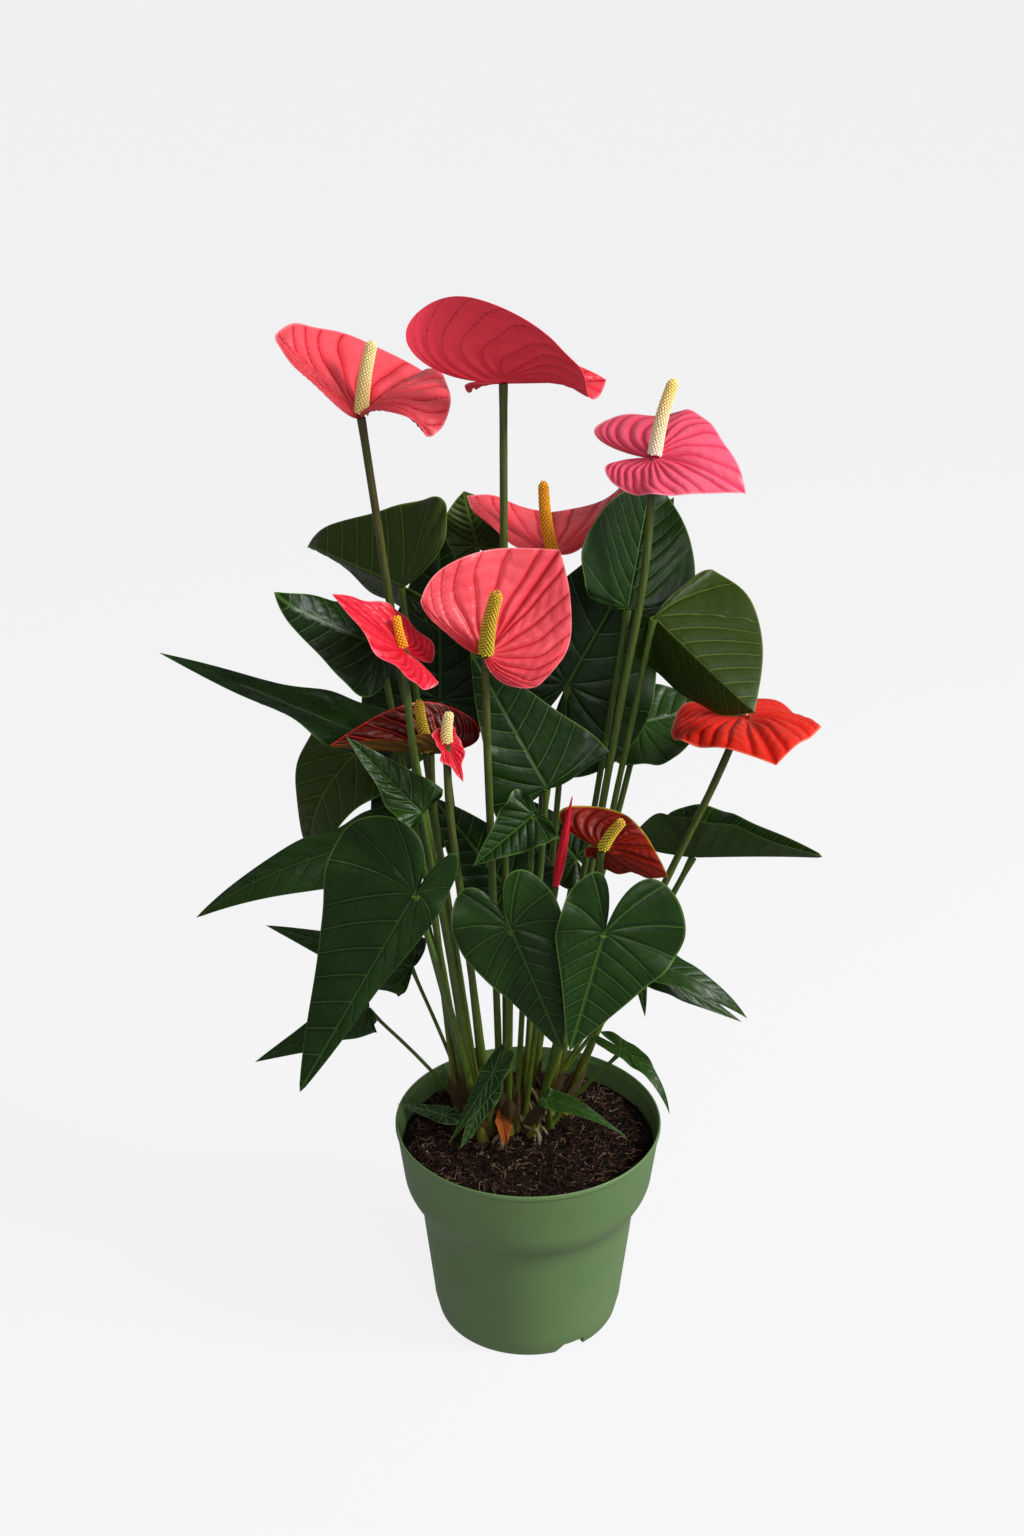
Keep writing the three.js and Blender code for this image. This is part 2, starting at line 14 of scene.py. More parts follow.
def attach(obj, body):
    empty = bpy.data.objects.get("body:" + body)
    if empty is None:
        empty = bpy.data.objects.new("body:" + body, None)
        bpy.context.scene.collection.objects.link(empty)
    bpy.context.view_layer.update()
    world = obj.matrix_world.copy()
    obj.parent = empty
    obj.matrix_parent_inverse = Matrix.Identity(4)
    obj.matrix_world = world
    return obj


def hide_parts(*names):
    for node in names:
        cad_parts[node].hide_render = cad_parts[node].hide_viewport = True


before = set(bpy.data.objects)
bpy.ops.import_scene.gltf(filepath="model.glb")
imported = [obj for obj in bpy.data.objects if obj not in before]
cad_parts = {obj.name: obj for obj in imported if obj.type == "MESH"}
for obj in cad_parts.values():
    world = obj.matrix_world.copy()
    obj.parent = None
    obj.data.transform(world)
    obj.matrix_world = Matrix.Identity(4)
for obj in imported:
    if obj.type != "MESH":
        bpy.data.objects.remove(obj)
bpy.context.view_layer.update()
MM = 0.001

# %% [markdown]
# ## The camera
# It stands in front of the pot and above it, and looks about 24 degrees down. It is made first, so
# that every later step can be looked at from the same place.

# %% Camera
camera_data = bpy.data.cameras.new("camera")
camera_data.lens = 46.875
camera_data.sensor_width = 36
camera = bpy.data.objects.new("camera", camera_data)
camera.location = (-0.0103, -1.077, 0.875)
camera.rotation_euler = (math.radians(65.7), 0, 0)
bpy.context.scene.collection.objects.link(camera)
bpy.context.scene.camera = camera
bpy.context.scene.view_settings.view_transform = "Standard"
print("camera", round(camera.location.length, 3), "m from the pot's base")

# %% [markdown]
# ## Helpers for every material
# Colours are written as the hex codes that a painter would pick on a screen, and Blender mixes light
# with linear values, so one function turns the first into the second. The next helper adds a node
# to a tree, gives it its settings, and links or fills its inputs. In a Map Range node the inputs 1
# to 4 are the range that a value comes from and the range that it is carried to. The last helpers
# start and end a material.

# %% Colour and node helpers
def linear(code):
    """The linear colour of an sRGB hex code."""
    parts = [int(code[i:i + 2], 16) / 255 for i in (1, 3, 5)]
    parts = [c / 12.92 if c <= 0.04045 else ((c + 0.055) / 1.055) ** 2.4 for c in parts]
    return (*parts, 1.0)


def add(tree, kind, inputs=None, **settings):
    """Adds a node. inputs maps a socket's name or number to a value, a node or an output socket."""
    node = tree.nodes.new(kind)
    for name, value in settings.items():
        setattr(node, name, value)
    for key, value in (inputs or {}).items():
        named = [socket for socket in node.inputs if socket.enabled and socket.name == key]
        socket = named[0] if named else node.inputs[key]
        if isinstance(value, bpy.types.Node):
            value = next(output for output in value.outputs if output.enabled)
        if isinstance(value, bpy.types.NodeSocket):
            tree.links.new(value, socket)
        else:
            socket.default_value = value
    return node


def new_material(name):
    """An empty material and its tree."""
    material = bpy.data.materials.new(name)
    material.use_nodes = True
    material.node_tree.nodes.clear()
    return material, material.node_tree


def surface_output(tree, shader):
    """Ends a material's tree with its shader."""
    return add(tree, "ShaderNodeOutputMaterial", {"Surface": shader})


def textured_surface(tree, colour, rough, height, strength, depth, more):
    """Ends a material's tree with a shader whose surface has a fine relief, depth in millimetres."""
    bump = add(tree, "ShaderNodeBump", {"Height": height, "Strength": strength, "Distance": depth * MM})
    surface_output(tree, add(tree, "ShaderNodeBsdfPrincipled", {
        "Base Color": colour, "Roughness": rough, "Normal": bump, **more}))


print("mid grey is", round(linear("#808080")[0], 3), "in linear light")

# %% [markdown]
# ## Helpers for every mesh
# One links a new object into the scene. Another makes a closed body from points in millimetres, and
# its signed volume tells whether the faces look outwards. The last one lists the faces of a body
# that is made of rings with a point at each end.

# %% Mesh helpers
def new_object(name, data):
    """An object in the scene that shows a mesh or a light."""
    made = bpy.data.objects.new(name, data)
    bpy.context.scene.collection.objects.link(made)
    return made


def mesh_volume(mesh):
    """Signed volume of a closed mesh: negative when its faces look inwards."""
    mesh.calc_loop_triangles()
    corners = np.zeros(len(mesh.loop_triangles) * 3, int)
    mesh.loop_triangles.foreach_get("vertices", corners)
    places = np.zeros(len(mesh.vertices) * 3)
    mesh.vertices.foreach_get("co", places)
    a, b, c = places.reshape(-1, 3)[corners].reshape(-1, 3, 3).transpose(1, 0, 2)
    return float(np.einsum("ij,ij->i", a, np.cross(b, c)).sum() / 6)


def closed_object(name, points, faces):
    """A closed body through points in millimetres, with its faces looking outwards."""
    mesh = bpy.data.meshes.new(name)
    mesh.from_pydata((np.array(points) * MM).tolist(), [], faces)
    if mesh_volume(mesh) < 0:
        mesh.flip_normals()
    return new_object(name, mesh)


def shade_smooth(mesh):
    """Rounds the shading over all faces of a mesh."""
    mesh.polygons.foreach_set("use_smooth", [True] * len(mesh.polygons))


def ring_faces(rows, columns):
    """Faces of a body of rings whose last two points close its ends."""
    after = [(i + 1) % columns for i in range(columns)]
    last = (rows - 1) * columns
    faces = [[r * columns + i, r * columns + after[i], (r + 1) * columns + after[i], (r + 1) * columns + i]
             for r in range(rows - 1) for i in range(columns)]
    faces += [[rows * columns, after[i], i] for i in range(columns)]
    return faces + [[rows * columns + 1, last + i, last + after[i]] for i in range(columns)]


print("a body of 3 rings with 8 points each has", len(ring_faces(3, 8)), "faces")

# %% [markdown]
# ## The outline of a blade
# A leaf and a spathe, the coloured leaf behind the flower spike, have the same heart shape. Seen
# from the point where the stalk joins, the edge is far away at the tip, nearer along the flanks,
# and very near in the cleft between the rear lobes. One formula of the angle gives that distance.

# %% Outline
LEAF_OUTLINE = dict(side=0.36, point=0.34, lobe=0.1, notch=0.22)
SPATHE_OUTLINE = dict(side=0.5, point=0.42, lobe=0, notch=0.22)
ROUND_OUTLINE = dict(side=0.75, point=0.42, lobe=0, notch=1.2)
LEAST_RADIUS = 0.035


def outline_radius(angle, side, point, lobe, notch):
    """Distance from stalk to edge, in lengths of the blade, at an angle from the tip."""
    a = np.abs(angle)
    flank = side + lobe * (1 - np.cos(a)) / 2
    reach = flank + (1 - flank) * np.exp(-a / point)
    cleft = 1 - np.exp(-(np.maximum(math.pi - a, 0) / notch) ** 1.5)
    return np.maximum(reach * cleft, LEAST_RADIUS)


half_width = float(outline_radius(math.pi / 2, **LEAF_OUTLINE))
print("a leaf is", round(half_width, 2), "of its length wide on each side")

# %% [markdown]
# ## Bending a flat heart into a living blade
# A real blade arches along its midrib, folds and curls along its flanks, and may twist. The flat
# place (s along, t across to the left) is carried onto such a surface. Each half has its own fold,
# the slope at the midrib, and curl, the slope it gains out to the flank. A flick bends the last part
# towards the tip up or down.

# %% Bent surface
HALF_WIDTH = 0.4
FLICK_START = 0.7
FLATTEST = 1e-3


def blade_frame(blade):
    """Where the blade starts, its directions and its length, in millimetres."""
    origin = np.array(blade["base"], float)
    along = np.array(blade["tip"], float) - origin
    chord = np.linalg.norm(along)
    along = along / chord
    face = np.array(blade["face"], float)
    upward = face - along * face.dot(along)
    upward = upward / np.linalg.norm(upward)
    return origin, along, np.cross(upward, along), upward, chord


def surface_points(blade, s, t):
    """Places on the bent blade, in millimetres."""
    origin, along, leftward, upward, chord = blade_frame(blade)
    arch, flick, twist = (blade.get(k, 0) for k in ("arch", "flick", "twist"))
    left, right = blade.get("left", (0, 0)), blade.get("right", (0, 0))
    fold = np.where(t >= 0, left[0], right[0])
    turn = np.where(t >= 0, left[1], right[1]) / HALF_WIDTH
    turn = np.where(np.abs(turn) < FLATTEST, FLATTEST, turn)
    out = np.abs(t)
    across = (np.sin(fold + turn * out) - np.sin(fold)) / turn
    lift = (np.cos(fold) - np.cos(fold + turn * out)) / turn
    y = np.sign(t) * across * np.cos(twist * s) - lift * np.sin(twist * s)
    z = np.sign(t) * across * np.sin(twist * s) + lift * np.cos(twist * s)
    end = np.maximum(0, s - FLICK_START) / (1 - FLICK_START)
    bow = np.where(s > 0, 4 * arch * s * (1 - s), 4 * arch * s) + flick * end ** 2
    pitch = np.arctan(np.where(s > 0, 4 * arch * (1 - 2 * s), 4 * arch))
    return (origin + chord * ((s - z * np.sin(pitch))[..., None] * along
            + y[..., None] * leftward + (bow + z * np.cos(pitch))[..., None] * upward))


def surface_normals(blade, s, t, step=0.004):
    """Directions that stand on the blade's upper face."""
    ahead = surface_points(blade, s + step, t) - surface_points(blade, s - step, t)
    aside = surface_points(blade, s, t + step) - surface_points(blade, s, t - step)
    normal = np.cross(ahead, aside)
    return normal / np.maximum(np.linalg.norm(normal, axis=-1, keepdims=True), 1e-12)


print("a blade's place is a formula, so it can be sampled as finely as the eye needs")

# %% [markdown]
# ## The plant's plan
# Each row says where a flower or leaf sits: the base where its stalk joins, its tip, and the way
# its upper face looks, in millimetres from the centre of the pot's base. The same plan made the
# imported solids, so a blade grown from it lies where its solid lies.

# %% Plan of the flowers
FLOWERS = [
    dict(name="flower_left_tall", base=(-93, 0, 600), tip=(-58, 62, 606), face=(0.1, -0.3, 0.95),
         broad=(1.75, 1.5), lobes=(0.3, 0.2), left=(0.5, 0), right=(1.1, -1), arch=0.05,
         spadix=dict(to=(-86, 10, 640), radius=4), arrive=(-0.1, -0.1, 1)),
    dict(name="flower_mid_tall", base=(-15, 0, 619), tip=(42, 24, 614), face=(0, 0, 1),
         broad=(1, 2), lobes=(0.6, 2.2), left=(-0.2, 0), right=(0.6, 0), twist=1,
         spadix=dict(to=(-24, 20, 648), radius=3.4), arrive=(0, 0, 1)),
    dict(name="flower_right_tall", base=(68, 0, 577), tip=(117, -15, 560), face=(0.2, -0.6, 0.77),
         broad=(1.5, 0.9), lobes=(1.7, 1), left=(0.2, -0.3), right=(-0.1, -0.2), arch=0.12,
         spadix=dict(to=(79, 10, 619), radius=4), arrive=(0, 0, 1)),
    dict(name="flower_left_small", base=(-70, -43, 480), tip=(-107, -63, 519), face=(0.75, -0.25, 0.6),
         broad=(0.8, 0.8), left=(0.1, 0), right=(0.1, 0),
         spadix=dict(to=(-74, -41, 500), radius=2.8), arrive=(0, -0.15, 1)),
    dict(name="flower_centre_large", base=(-25, -40, 476), tip=(17, -14, 529), face=(0, -0.9, 0.45),
         outline=ROUND_OUTLINE, broad=(1.1, 0.85), lobes=(0.3, 0.5), left=(0.1, 0.2), right=(0.15, 0.2),
         arch=-0.05, spadix=dict(to=(-18, -54, 518), radius=4.4), arrive=(0, -0.2, 1)),
    dict(name="flower_back", base=(14, 58, 502), tip=(14, 118, 510), face=(0, -0.25, 0.95),
         outline=ROUND_OUTLINE, broad=(1.6, 1.75), lobes=(0.3, 0.3), left=(0.3, 0.2), right=(0.3, 0.25),
         spadix=dict(to=(8, 63, 546), radius=3.8), arrive=(0, 0, 1)),
    dict(name="flower_left_dark", base=(-58, -11, 404), tip=(-115, -28, 415), face=(0, -0.1, 1),
         broad=(0.75, 0.95), lobes=(0.5, 1.2), left=(0.7, 0.4), right=(0.8, 0.3),
         spadix=dict(to=(-64, -15, 439), radius=3.4), arrive=(0, 0, 1)),
    dict(name="flower_young", base=(-47, -52, 427), tip=(-38, -60, 407), face=(0.7, -0.6, 0.3),
         broad=(0.8, 0.8), left=(0.2, 0), right=(0.2, 0),
         spadix=dict(to=(-45, -52, 447), radius=3.4), arrive=(0, 0, 1)),
    dict(name="flower_right_low", base=(125, 0, 422), tip=(138, -52, 413), face=(0, -0.1, 1),
         broad=(1.7, 1.6), lobes=(1.5, 1.6), left=(0.1, -0.3), right=(0.1, -0.3), arch=0.08,
         spadix=dict(to=(125, 5, 446), radius=3.4), arrive=(0.3, 0, 1)),
    dict(name="flower_front_low", base=(41, -52, 361), tip=(78, -72, 354), face=(0, -0.8, 0.6),
         broad=(1.1, 0.8), lobes=(1.8, 0.6), left=(0, 0.1), right=(-1.2, 0),
         spadix=dict(to=(53, -58, 383), radius=3.4), arrive=(0, -0.2, 1)),
]
print(len(FLOWERS), "flowers")

# %% Plan of the leaves
LEAVES = [
    dict(name="leaf_left_top", base=(-74, 20, 495), tip=(-143, 80, 504), face=(0, -0.9, 0.45),
         broad=(0.9, 1.45), lobes=(0.5, 0.4), left=(-1.3, 0), right=(0.1, 0), flick=-0.15),
    dict(name="leaf_left_back", base=(-55, 72, 403), tip=(-55, 100, 506), face=(0, -1, 0.3),
         broad=(1.1, 1.1), lobes=(0.5, 0.5)),
    dict(name="leaf_left_curled", base=(-86, -4, 467), tip=(-147, -22, 504), face=(0, -0.7, 0.7),
         lobes=(0.4, 0.2), left=(-0.3, 0), right=(-0.3, 0), flick=0.1),
    dict(name="leaf_left_long", base=(-86, 14, 398), tip=(-217, 20, 454), face=(0, -0.3, 0.95),
         broad=(0.42, 0.42), lobes=(0.1, 0.1), left=(0.2, 0), right=(0.2, 0)),
    dict(name="leaf_left_hanging", base=(-92, 60, 386), tip=(-128, 51, 286), face=(-0.6, -0.7, 0.4),
         broad=(0.92, 0.92), lobes=(0.1, 0.1), arch=0.3),
    dict(name="leaf_left_low_long", base=(-76, -8, 346), tip=(-199, -20, 299), face=(0, -0.5, 0.85),
         broad=(0.55, 0.55), lobes=(0.1, 0.1), arch=0.12, left=(-0.3, 0), right=(-0.3, 0)),
    dict(name="leaf_front_left", base=(-65, -78, 346), tip=(-133, -95, 226), face=(-0.25, -0.9, 0.35),
         broad=(0.3, 0.95), lobes=(0.6, 0.6), left=(-0.4, 0)),
    dict(name="leaf_left_funnel", base=(-62, -50, 384), tip=(-104, -44, 428), face=(0, -0.7, 0.7),
         broad=(0.6, 0.7), lobes=(0.1, 0.1), left=(0.2, 0), right=(0.2, 0)),
    dict(name="leaf_left_shaded", base=(-66, 30, 352), tip=(-100, 32, 284), face=(0, -1, 0.3),
         lobes=(0.1, 0.1)),
    dict(name="leaf_centre_upright", base=(10, -12, 382), tip=(-34, 0, 462), face=(0, -0.8, 0.5),
         broad=(0.9, 1.1), lobes=(0.1, 0.1)),
    dict(name="leaf_centre_small", base=(2, -38, 376), tip=(-33, -52, 350), face=(0, -0.9, 0.4),
         lobes=(0.3, 0.3), left=(0.3, 0), right=(0.3, 0)),
    dict(name="leaf_centre_inner", base=(-14, 20, 300), tip=(-58, 20, 360), face=(0, -0.9, 0.4)),
    dict(name="leaf_front_middle", base=(-11, -64, 316), tip=(20, -76, 240), face=(-0.1, -0.9, 0.4),
         broad=(0.9, 0.95)),
    dict(name="leaf_front_right", base=(42, -77, 320), tip=(23, -92, 250), face=(0.15, -0.9, 0.4),
         broad=(1.5, 0.9), lobes=(1.3, 1.2)),
    dict(name="leaf_right_large", base=(23, 40, 426), tip=(85, 62, 536), face=(0, -1, 0.3)),
    dict(name="leaf_right_top", base=(57, 20, 482), tip=(72, 60, 552), face=(0, -0.9, 0.4),
         outline=ROUND_OUTLINE, broad=(1, 0.7), lobes=(0.2, 0.2), left=(0.9, 0)),
    dict(name="leaf_right_winged", base=(71, 3, 482), tip=(127, -38, 438), face=(0.2, -0.8, 0.6),
         outline=ROUND_OUTLINE, lobes=(0.2, 0.2), left=(0, 0), right=(-1.5, 0)),
    dict(name="leaf_right_back", base=(69, 60, 392), tip=(137, 90, 395), face=(0, -0.6, 0.8)),
    dict(name="leaf_right_folded", base=(101, 20, 320), tip=(173, -20, 342), face=(0, 0.1, 1),
         left=(0.8, 0), right=(1.1, 0)),
    dict(name="leaf_left_low", base=(-103, 30, 206), tip=(-177, 30, 165), face=(0, -0.5, 0.8),
         broad=(0.5, 0.5), lobes=(0.1, 0.1), stalk=1.2),
    dict(name="leaf_left_low_back", base=(-74, 20, 243), tip=(-168, 50, 255), face=(0, -0.4, 0.9),
         broad=(0.6, 0.6), lobes=(0.1, 0.1), stalk=1.2),
    dict(name="leaf_back_centre", base=(31, 80, 289), tip=(1, 100, 321), face=(0, -0.9, 0.4), stalk=1.4),
    dict(name="leaf_back_top", base=(-32, 112, 490), tip=(-40, 116, 524), face=(0, -0.9, 0.4),
         outline=ROUND_OUTLINE, stalk=1.4),
]
print(len(LEAVES), "leaves")

# %% Plan of the bud and the young shoots
BUD = dict(name="flower_bud", base=(15, -42, 332), tip=(24, -42, 389), radius=3.8)
OFFSHOOTS = [
    dict(name="offshoot_front", foot=(-25, 0), leaves=[
        dict(base=(-22, -34, 198), tip=(-48, -52, 160), face=(-0.5, -0.8, 0.3), broad=(0.6, 0.6)),
        dict(base=(-26, -28, 178), tip=(-42, -44, 150), face=(-0.3, -0.9, 0.3), broad=(0.8, 0.8)),
        dict(base=(-54, -12, 153), tip=(-83, -10, 160), face=(0, -0.7, 0.7), broad=(0.7, 0.7))]),
    dict(name="offshoot_right", foot=(14, 8), leaves=[
        dict(base=(60, 0, 194), tip=(88, -26, 163), face=(0.3, -0.5, 0.8), broad=(0.6, 0.6), arch=0.2),
        dict(base=(12, -34, 180), tip=(60, -52, 164), face=(0.2, -0.5, 0.8),
             broad=(0.5, 0.5), lobes=(0.2, 0.2), arch=0.1)]),
    dict(name="offshoot_back_right", foot=(16, 52), leaves=[
        dict(base=(84, 66, 218), tip=(145, 60, 180), face=(0.3, -0.5, 0.8), broad=(0.7, 0.7), arch=0.1),
        dict(base=(80, 76, 208), tip=(144, 78, 166), face=(0.3, -0.5, 0.8), broad=(0.6, 0.6)),
        dict(base=(72, 56, 226), tip=(77, 52, 186), face=(0, -0.9, 0.3), broad=(0.6, 0.6))]),
]
print(len(OFFSHOOTS), "young shoots")

# %% [markdown]
# ## Stems that make room for one another
# A stem leaves the crown nearly upright and bends over to what it carries. In a crowded clump the
# stems press each other aside. Here every pair of stretches that comes too close is pushed apart a
# little, many times over, while each stem keeps a smooth line.

# %% Free stems
CROWN = dict(x=-13, y=30, radius=44, top=133)
FOOT_SPREAD, FOOT_REACH = 62, 95
STEM_STEPS = 6
PETIOLE_RADIUS, PEDUNCLE_RADIUS, OFFSHOOT_STALK = 1.9, 2.3, 1.3
UP = np.array([0.0, 0, 1])


def unit(v):
    """A direction of length one."""
    v = np.array(v, float)
    return v / np.linalg.norm(v)


def foot_of(grown):
    """Where a stem leaves the crown: towards the crown's centre from what it carries."""
    if "foot" in grown:
        return np.array([*grown["foot"], CROWN["top"] - 2], float)
    dx, dy = grown["base"][0] - CROWN["x"], grown["base"][1] - CROWN["y"]
    scale = FOOT_SPREAD / (math.hypot(dx, dy) + FOOT_REACH)
    return np.array([CROWN["x"] + dx * scale, CROWN["y"] + dy * scale, CROWN["top"] - 2])


def free_stem(grown, radius, clump=None):
    """A stem with all the room it wants, as points along a Bezier curve."""
    foot, end = foot_of(grown), np.array(grown["base"], float)
    length = np.linalg.norm(end - foot)
    reach = (end - foot) / length
    start = unit(0.7 * UP + 0.6 * reach)
    arrive = unit(grown.get("arrive", reach + 0.1 * UP))
    knots = [foot, foot + start * length * 0.35, end - arrive * length * 0.3, end]
    shares = np.linspace(0, 1, STEM_STEPS + 1)[:, None]
    points = sum(math.comb(3, k) * (1 - shares) ** (3 - k) * shares ** k * knots[k] for k in range(4))
    return dict(points=points, radius=radius, clump=clump)


print("a free stem has", STEM_STEPS, "stretches")

# %% Making room
ROOM_ROUNDS, ROOM_CLEAR, ROOM_SMOOTH = 60, 1.2, 0.08


def closest_shares(a, b, c, d):
    """Where two straight stretches come closest, as shares of their lengths."""
    u, v, w = b - a, d - c, a - c
    uu, uv, vv, uw, vw = u @ u, u @ v, v @ v, u @ w, v @ w
    flat = uu * vv - uv * uv
    first = min(1, max(0, (uv * vw - vv * uw) / flat)) if flat > 1e-6 else 0.5
    second = min(1, max(0, (uv * first + vw) / vv))
    return min(1, max(0, (uv * second - uw) / uu)), second


def near_stretches(stems):
    """Pairs of stretches of different stems whose boxes nearly touch."""
    ends = np.array([stem["points"][[i, i + 1]] for stem in stems for i in range(STEM_STEPS)])
    low, high = ends.min(1) - 4, ends.max(1) + 4
    touch = (low[:, None] < high).all(2) & (high[:, None] > low).all(2)
    pairs = (divmod(p, STEM_STEPS) + divmod(q, STEM_STEPS) for p, q in np.argwhere(touch) if p < q)
    return sorted((a, b, i, j) for a, i, b, j in pairs if a != b)


def shift(points, i, share, by):
    """Moves a stretch's ends sideways, but never the last stretch, which holds the blade."""
    last = len(points) - 2
    if i < last:
        points[i] += by * (1 - share)
    if i + 1 < last:
        points[i + 1] += by * share


def push_apart(one, other, i, j):
    """Pushes two stretches apart when they are closer than their thickness."""
    if one["clump"] and one["clump"] == other["clump"]:
        return
    need = one["radius"] + other["radius"] + ROOM_CLEAR
    a, b, c, d = *one["points"][[i, i + 1]], *other["points"][[j, j + 1]]
    s, t = closest_shares(a, b, c, d)
    apart = a + (b - a) * s - c - (d - c) * t
    distance = math.sqrt(apart @ apart)
    if distance >= need:
        return
    apart[2] = 0
    size = math.hypot(*apart[:2])
    apart = np.array([0, 1.0, 0]) if size < 1e-3 else apart / size
    apart *= (need - distance) / 2
    shift(one["points"], i, s, apart)
    shift(other["points"], j, t, -apart)


def make_room(stems):
    """Presses crowded stems aside, round after round."""
    for _ in range(ROOM_ROUNDS):
        for a, b, i, j in near_stretches(stems):
            push_apart(stems[a], stems[b], i, j)
        for stem in stems:
            p = stem["points"]
            for k in range(1, len(p) - 2):
                p[k] += ((p[k - 1] + p[k + 1]) / 2 - p[k]) * ROOM_SMOOTH


flower_stems = [free_stem(f, PEDUNCLE_RADIUS) for f in FLOWERS]
leaf_stems = [free_stem(leaf, leaf.get("stalk", PETIOLE_RADIUS)) for leaf in LEAVES]
bud_stem = free_stem(BUD, PETIOLE_RADIUS)
shoot_stems = [[free_stem(dict(leaf, foot=shoot["foot"]), OFFSHOOT_STALK, shoot["name"])
                for leaf in shoot["leaves"]] for shoot in OFFSHOOTS]
all_stems = flower_stems + leaf_stems + [bud_stem] + sum(shoot_stems, [])
make_room(all_stems)
print(len(all_stems), "stems have made room")

# %% [markdown]
# ## Veins as fields
# A vein drawn on a mesh is only as sharp as the mesh. So each point of a blade carries a phase that
# runs evenly from vein to vein, and how many millimetres one step of that phase is. A material can
# then draw a line of the right width wherever the phase is whole. Leaf veins leave the midrib and
# arch forward, with a few that fan into the lobes. Spathe ribs fan from the base and sweep to the tip.

# %% Vein fields
def leaf_veins(s, t, angle, radius, rho, chord):
    """Phase and millimetres per phase of a leaf's side veins."""
    out = np.abs(t)
    spacing, fan = 0.135, 0.55
    ahead = (s - 0.55 * out - 0.9 * out ** 2) / spacing
    border = np.arctan2(1, 0.55 + 0.9 * out)
    behind = -(np.abs(angle) - border) / fan
    phase = np.where(ahead > 0, ahead, behind)
    pitch = np.where(ahead > 0, spacing * 0.85, fan * radius) * chord
    return phase, pitch


def spathe_ribs(s, t, angle, radius, rho, chord):
    """Phase and millimetres per phase of a spathe's ribs."""
    fan, sweep = 0.36, 1 - 0.34 * rho ** 2
    wander = 0.1 * np.sin(7 * rho + 5 * angle) + 0.08 * np.sin(3.1 * angle + 11 * rho)
    return np.abs(angle) / sweep / fan + 0.5 + wander, fan * sweep * radius * chord


print("leaf veins are about", round(0.135 * 90 * 0.85), "mm apart on a leaf 90 mm long")

# %% [markdown]
# ## A blade with two faces
# A blade is thin but not a sheet of paper: it has an upper and a lower face, a narrow edge, ribs
# pressed in from above, and a gentle wave along its margin. It is built as rings around the stalk,
# which keeps the points close together where the outline turns sharply.

# %% Blade mesh
COLUMNS, RINGS = 144, 30


def smooth_step(low, high, x):
    """Rises from 0 to 1 between low and high, without corners."""
    x = np.clip((x - low) / (high - low), 0, 1)
    return x * x * (3 - 2 * x)


def blade_fields(blade, outline, veins, columns, rings):
    """Flat places of a blade's points and the fields that shape and colour it."""
    turn = np.arange(columns) * 2 * math.pi / columns
    turn = np.where(turn > math.pi, turn - 2 * math.pi, turn)
    angle = turn - 0.3 * np.sin(2 * turn)
    rho = (np.arange(rings + 1) / rings)[:, None]
    radius = rho * outline_radius(angle, **blade.get("outline", outline))
    angle = np.broadcast_to(angle, radius.shape)
    broad, lobes = (np.array(blade.get(k, (1, 1)), float) for k in ("broad", "lobes"))
    side = (angle < 0).astype(int)
    s, t = radius * np.cos(angle), radius * np.sin(angle)
    chord = blade_frame(blade)[4]
    phase, pitch = veins(s, t, angle, radius, rho, chord)
    s = np.where(s < 0, s * lobes[side], s)
    middle = np.abs(t) * chord
    t = t * broad[side]
    edge = (1 - rho) * radius / np.maximum(rho, 1e-3) * chord
    return dict(s=s, t=t, rho=rho + 0 * s, angle=angle, phase=phase, pitch=pitch,
                middle=middle, edge=edge, chord=chord)


def relief(f, depth, width, quilt, wave, seed):
    """Height of the upper face, in millimetres: ribs pressed in, cushions between, a wavy edge."""
    away = np.abs(f["phase"] - np.round(f["phase"])) * f["pitch"]
    groove = np.exp(-(away / width) ** 2)
    spine = np.exp(-(f["middle"] / (1.4 * width)) ** 2)
    press = np.maximum(groove * smooth_step(0.04, 0.3, f["rho"]), spine)
    cell_phase = 6.5 * f["rho"] + 0.37 * np.floor(f["phase"]) + 0.4 * np.sin(9 * f["angle"])
    cells = np.abs(np.sin(math.pi * cell_phase))
    cushion = quilt * (1 - press) * (0.5 + 0.5 * np.sqrt(cells)) * smooth_step(0, 0.35, f["rho"])
    ripple = np.sin(5 * f["angle"] + seed) + 0.6 * np.sin(9 * f["angle"] + 2.3 * seed)
    fade = smooth_step(0, 4, f["edge"])
    return (cushion - depth * press) * fade + wave * f["rho"] ** 3 * ripple


def set_fields(mesh, **fields):
    """Stores numbers or vectors at each point of a mesh, for its material."""
    for name, values in fields.items():
        kind, key = ("FLOAT", "value") if values.ndim == 1 else ("FLOAT_VECTOR", "vector")
        data = mesh.attributes.new(name, kind, "POINT").data
        data.foreach_set(key, values.astype(np.float32).ravel())


def blade_faces(columns, rings):
    """Faces of the upper side, the lower side and the edge."""
    pairs = [(i, (i + 1) % columns) for i in range(columns)]
    upper = [[0, 1 + i, 1 + k] for i, k in pairs]
    for near in range(1, 1 + (rings - 1) * columns, columns):
        far = near + columns
        upper += [[near + i, far + i, far + k, near + k] for i, k in pairs]
    count = columns * rings + 1
    rim = count - columns
    lower = [[count + v for v in reversed(face)] for face in upper]
    return upper + lower + [[rim + i, count + rim + i, count + rim + k, rim + k] for i, k in pairs]


def on_both_faces(field):
    """A field's values at the centre and on each ring, for the upper and then the lower side."""
    return np.tile(np.concatenate([field[0, :1], field[1:].ravel()]), 2)


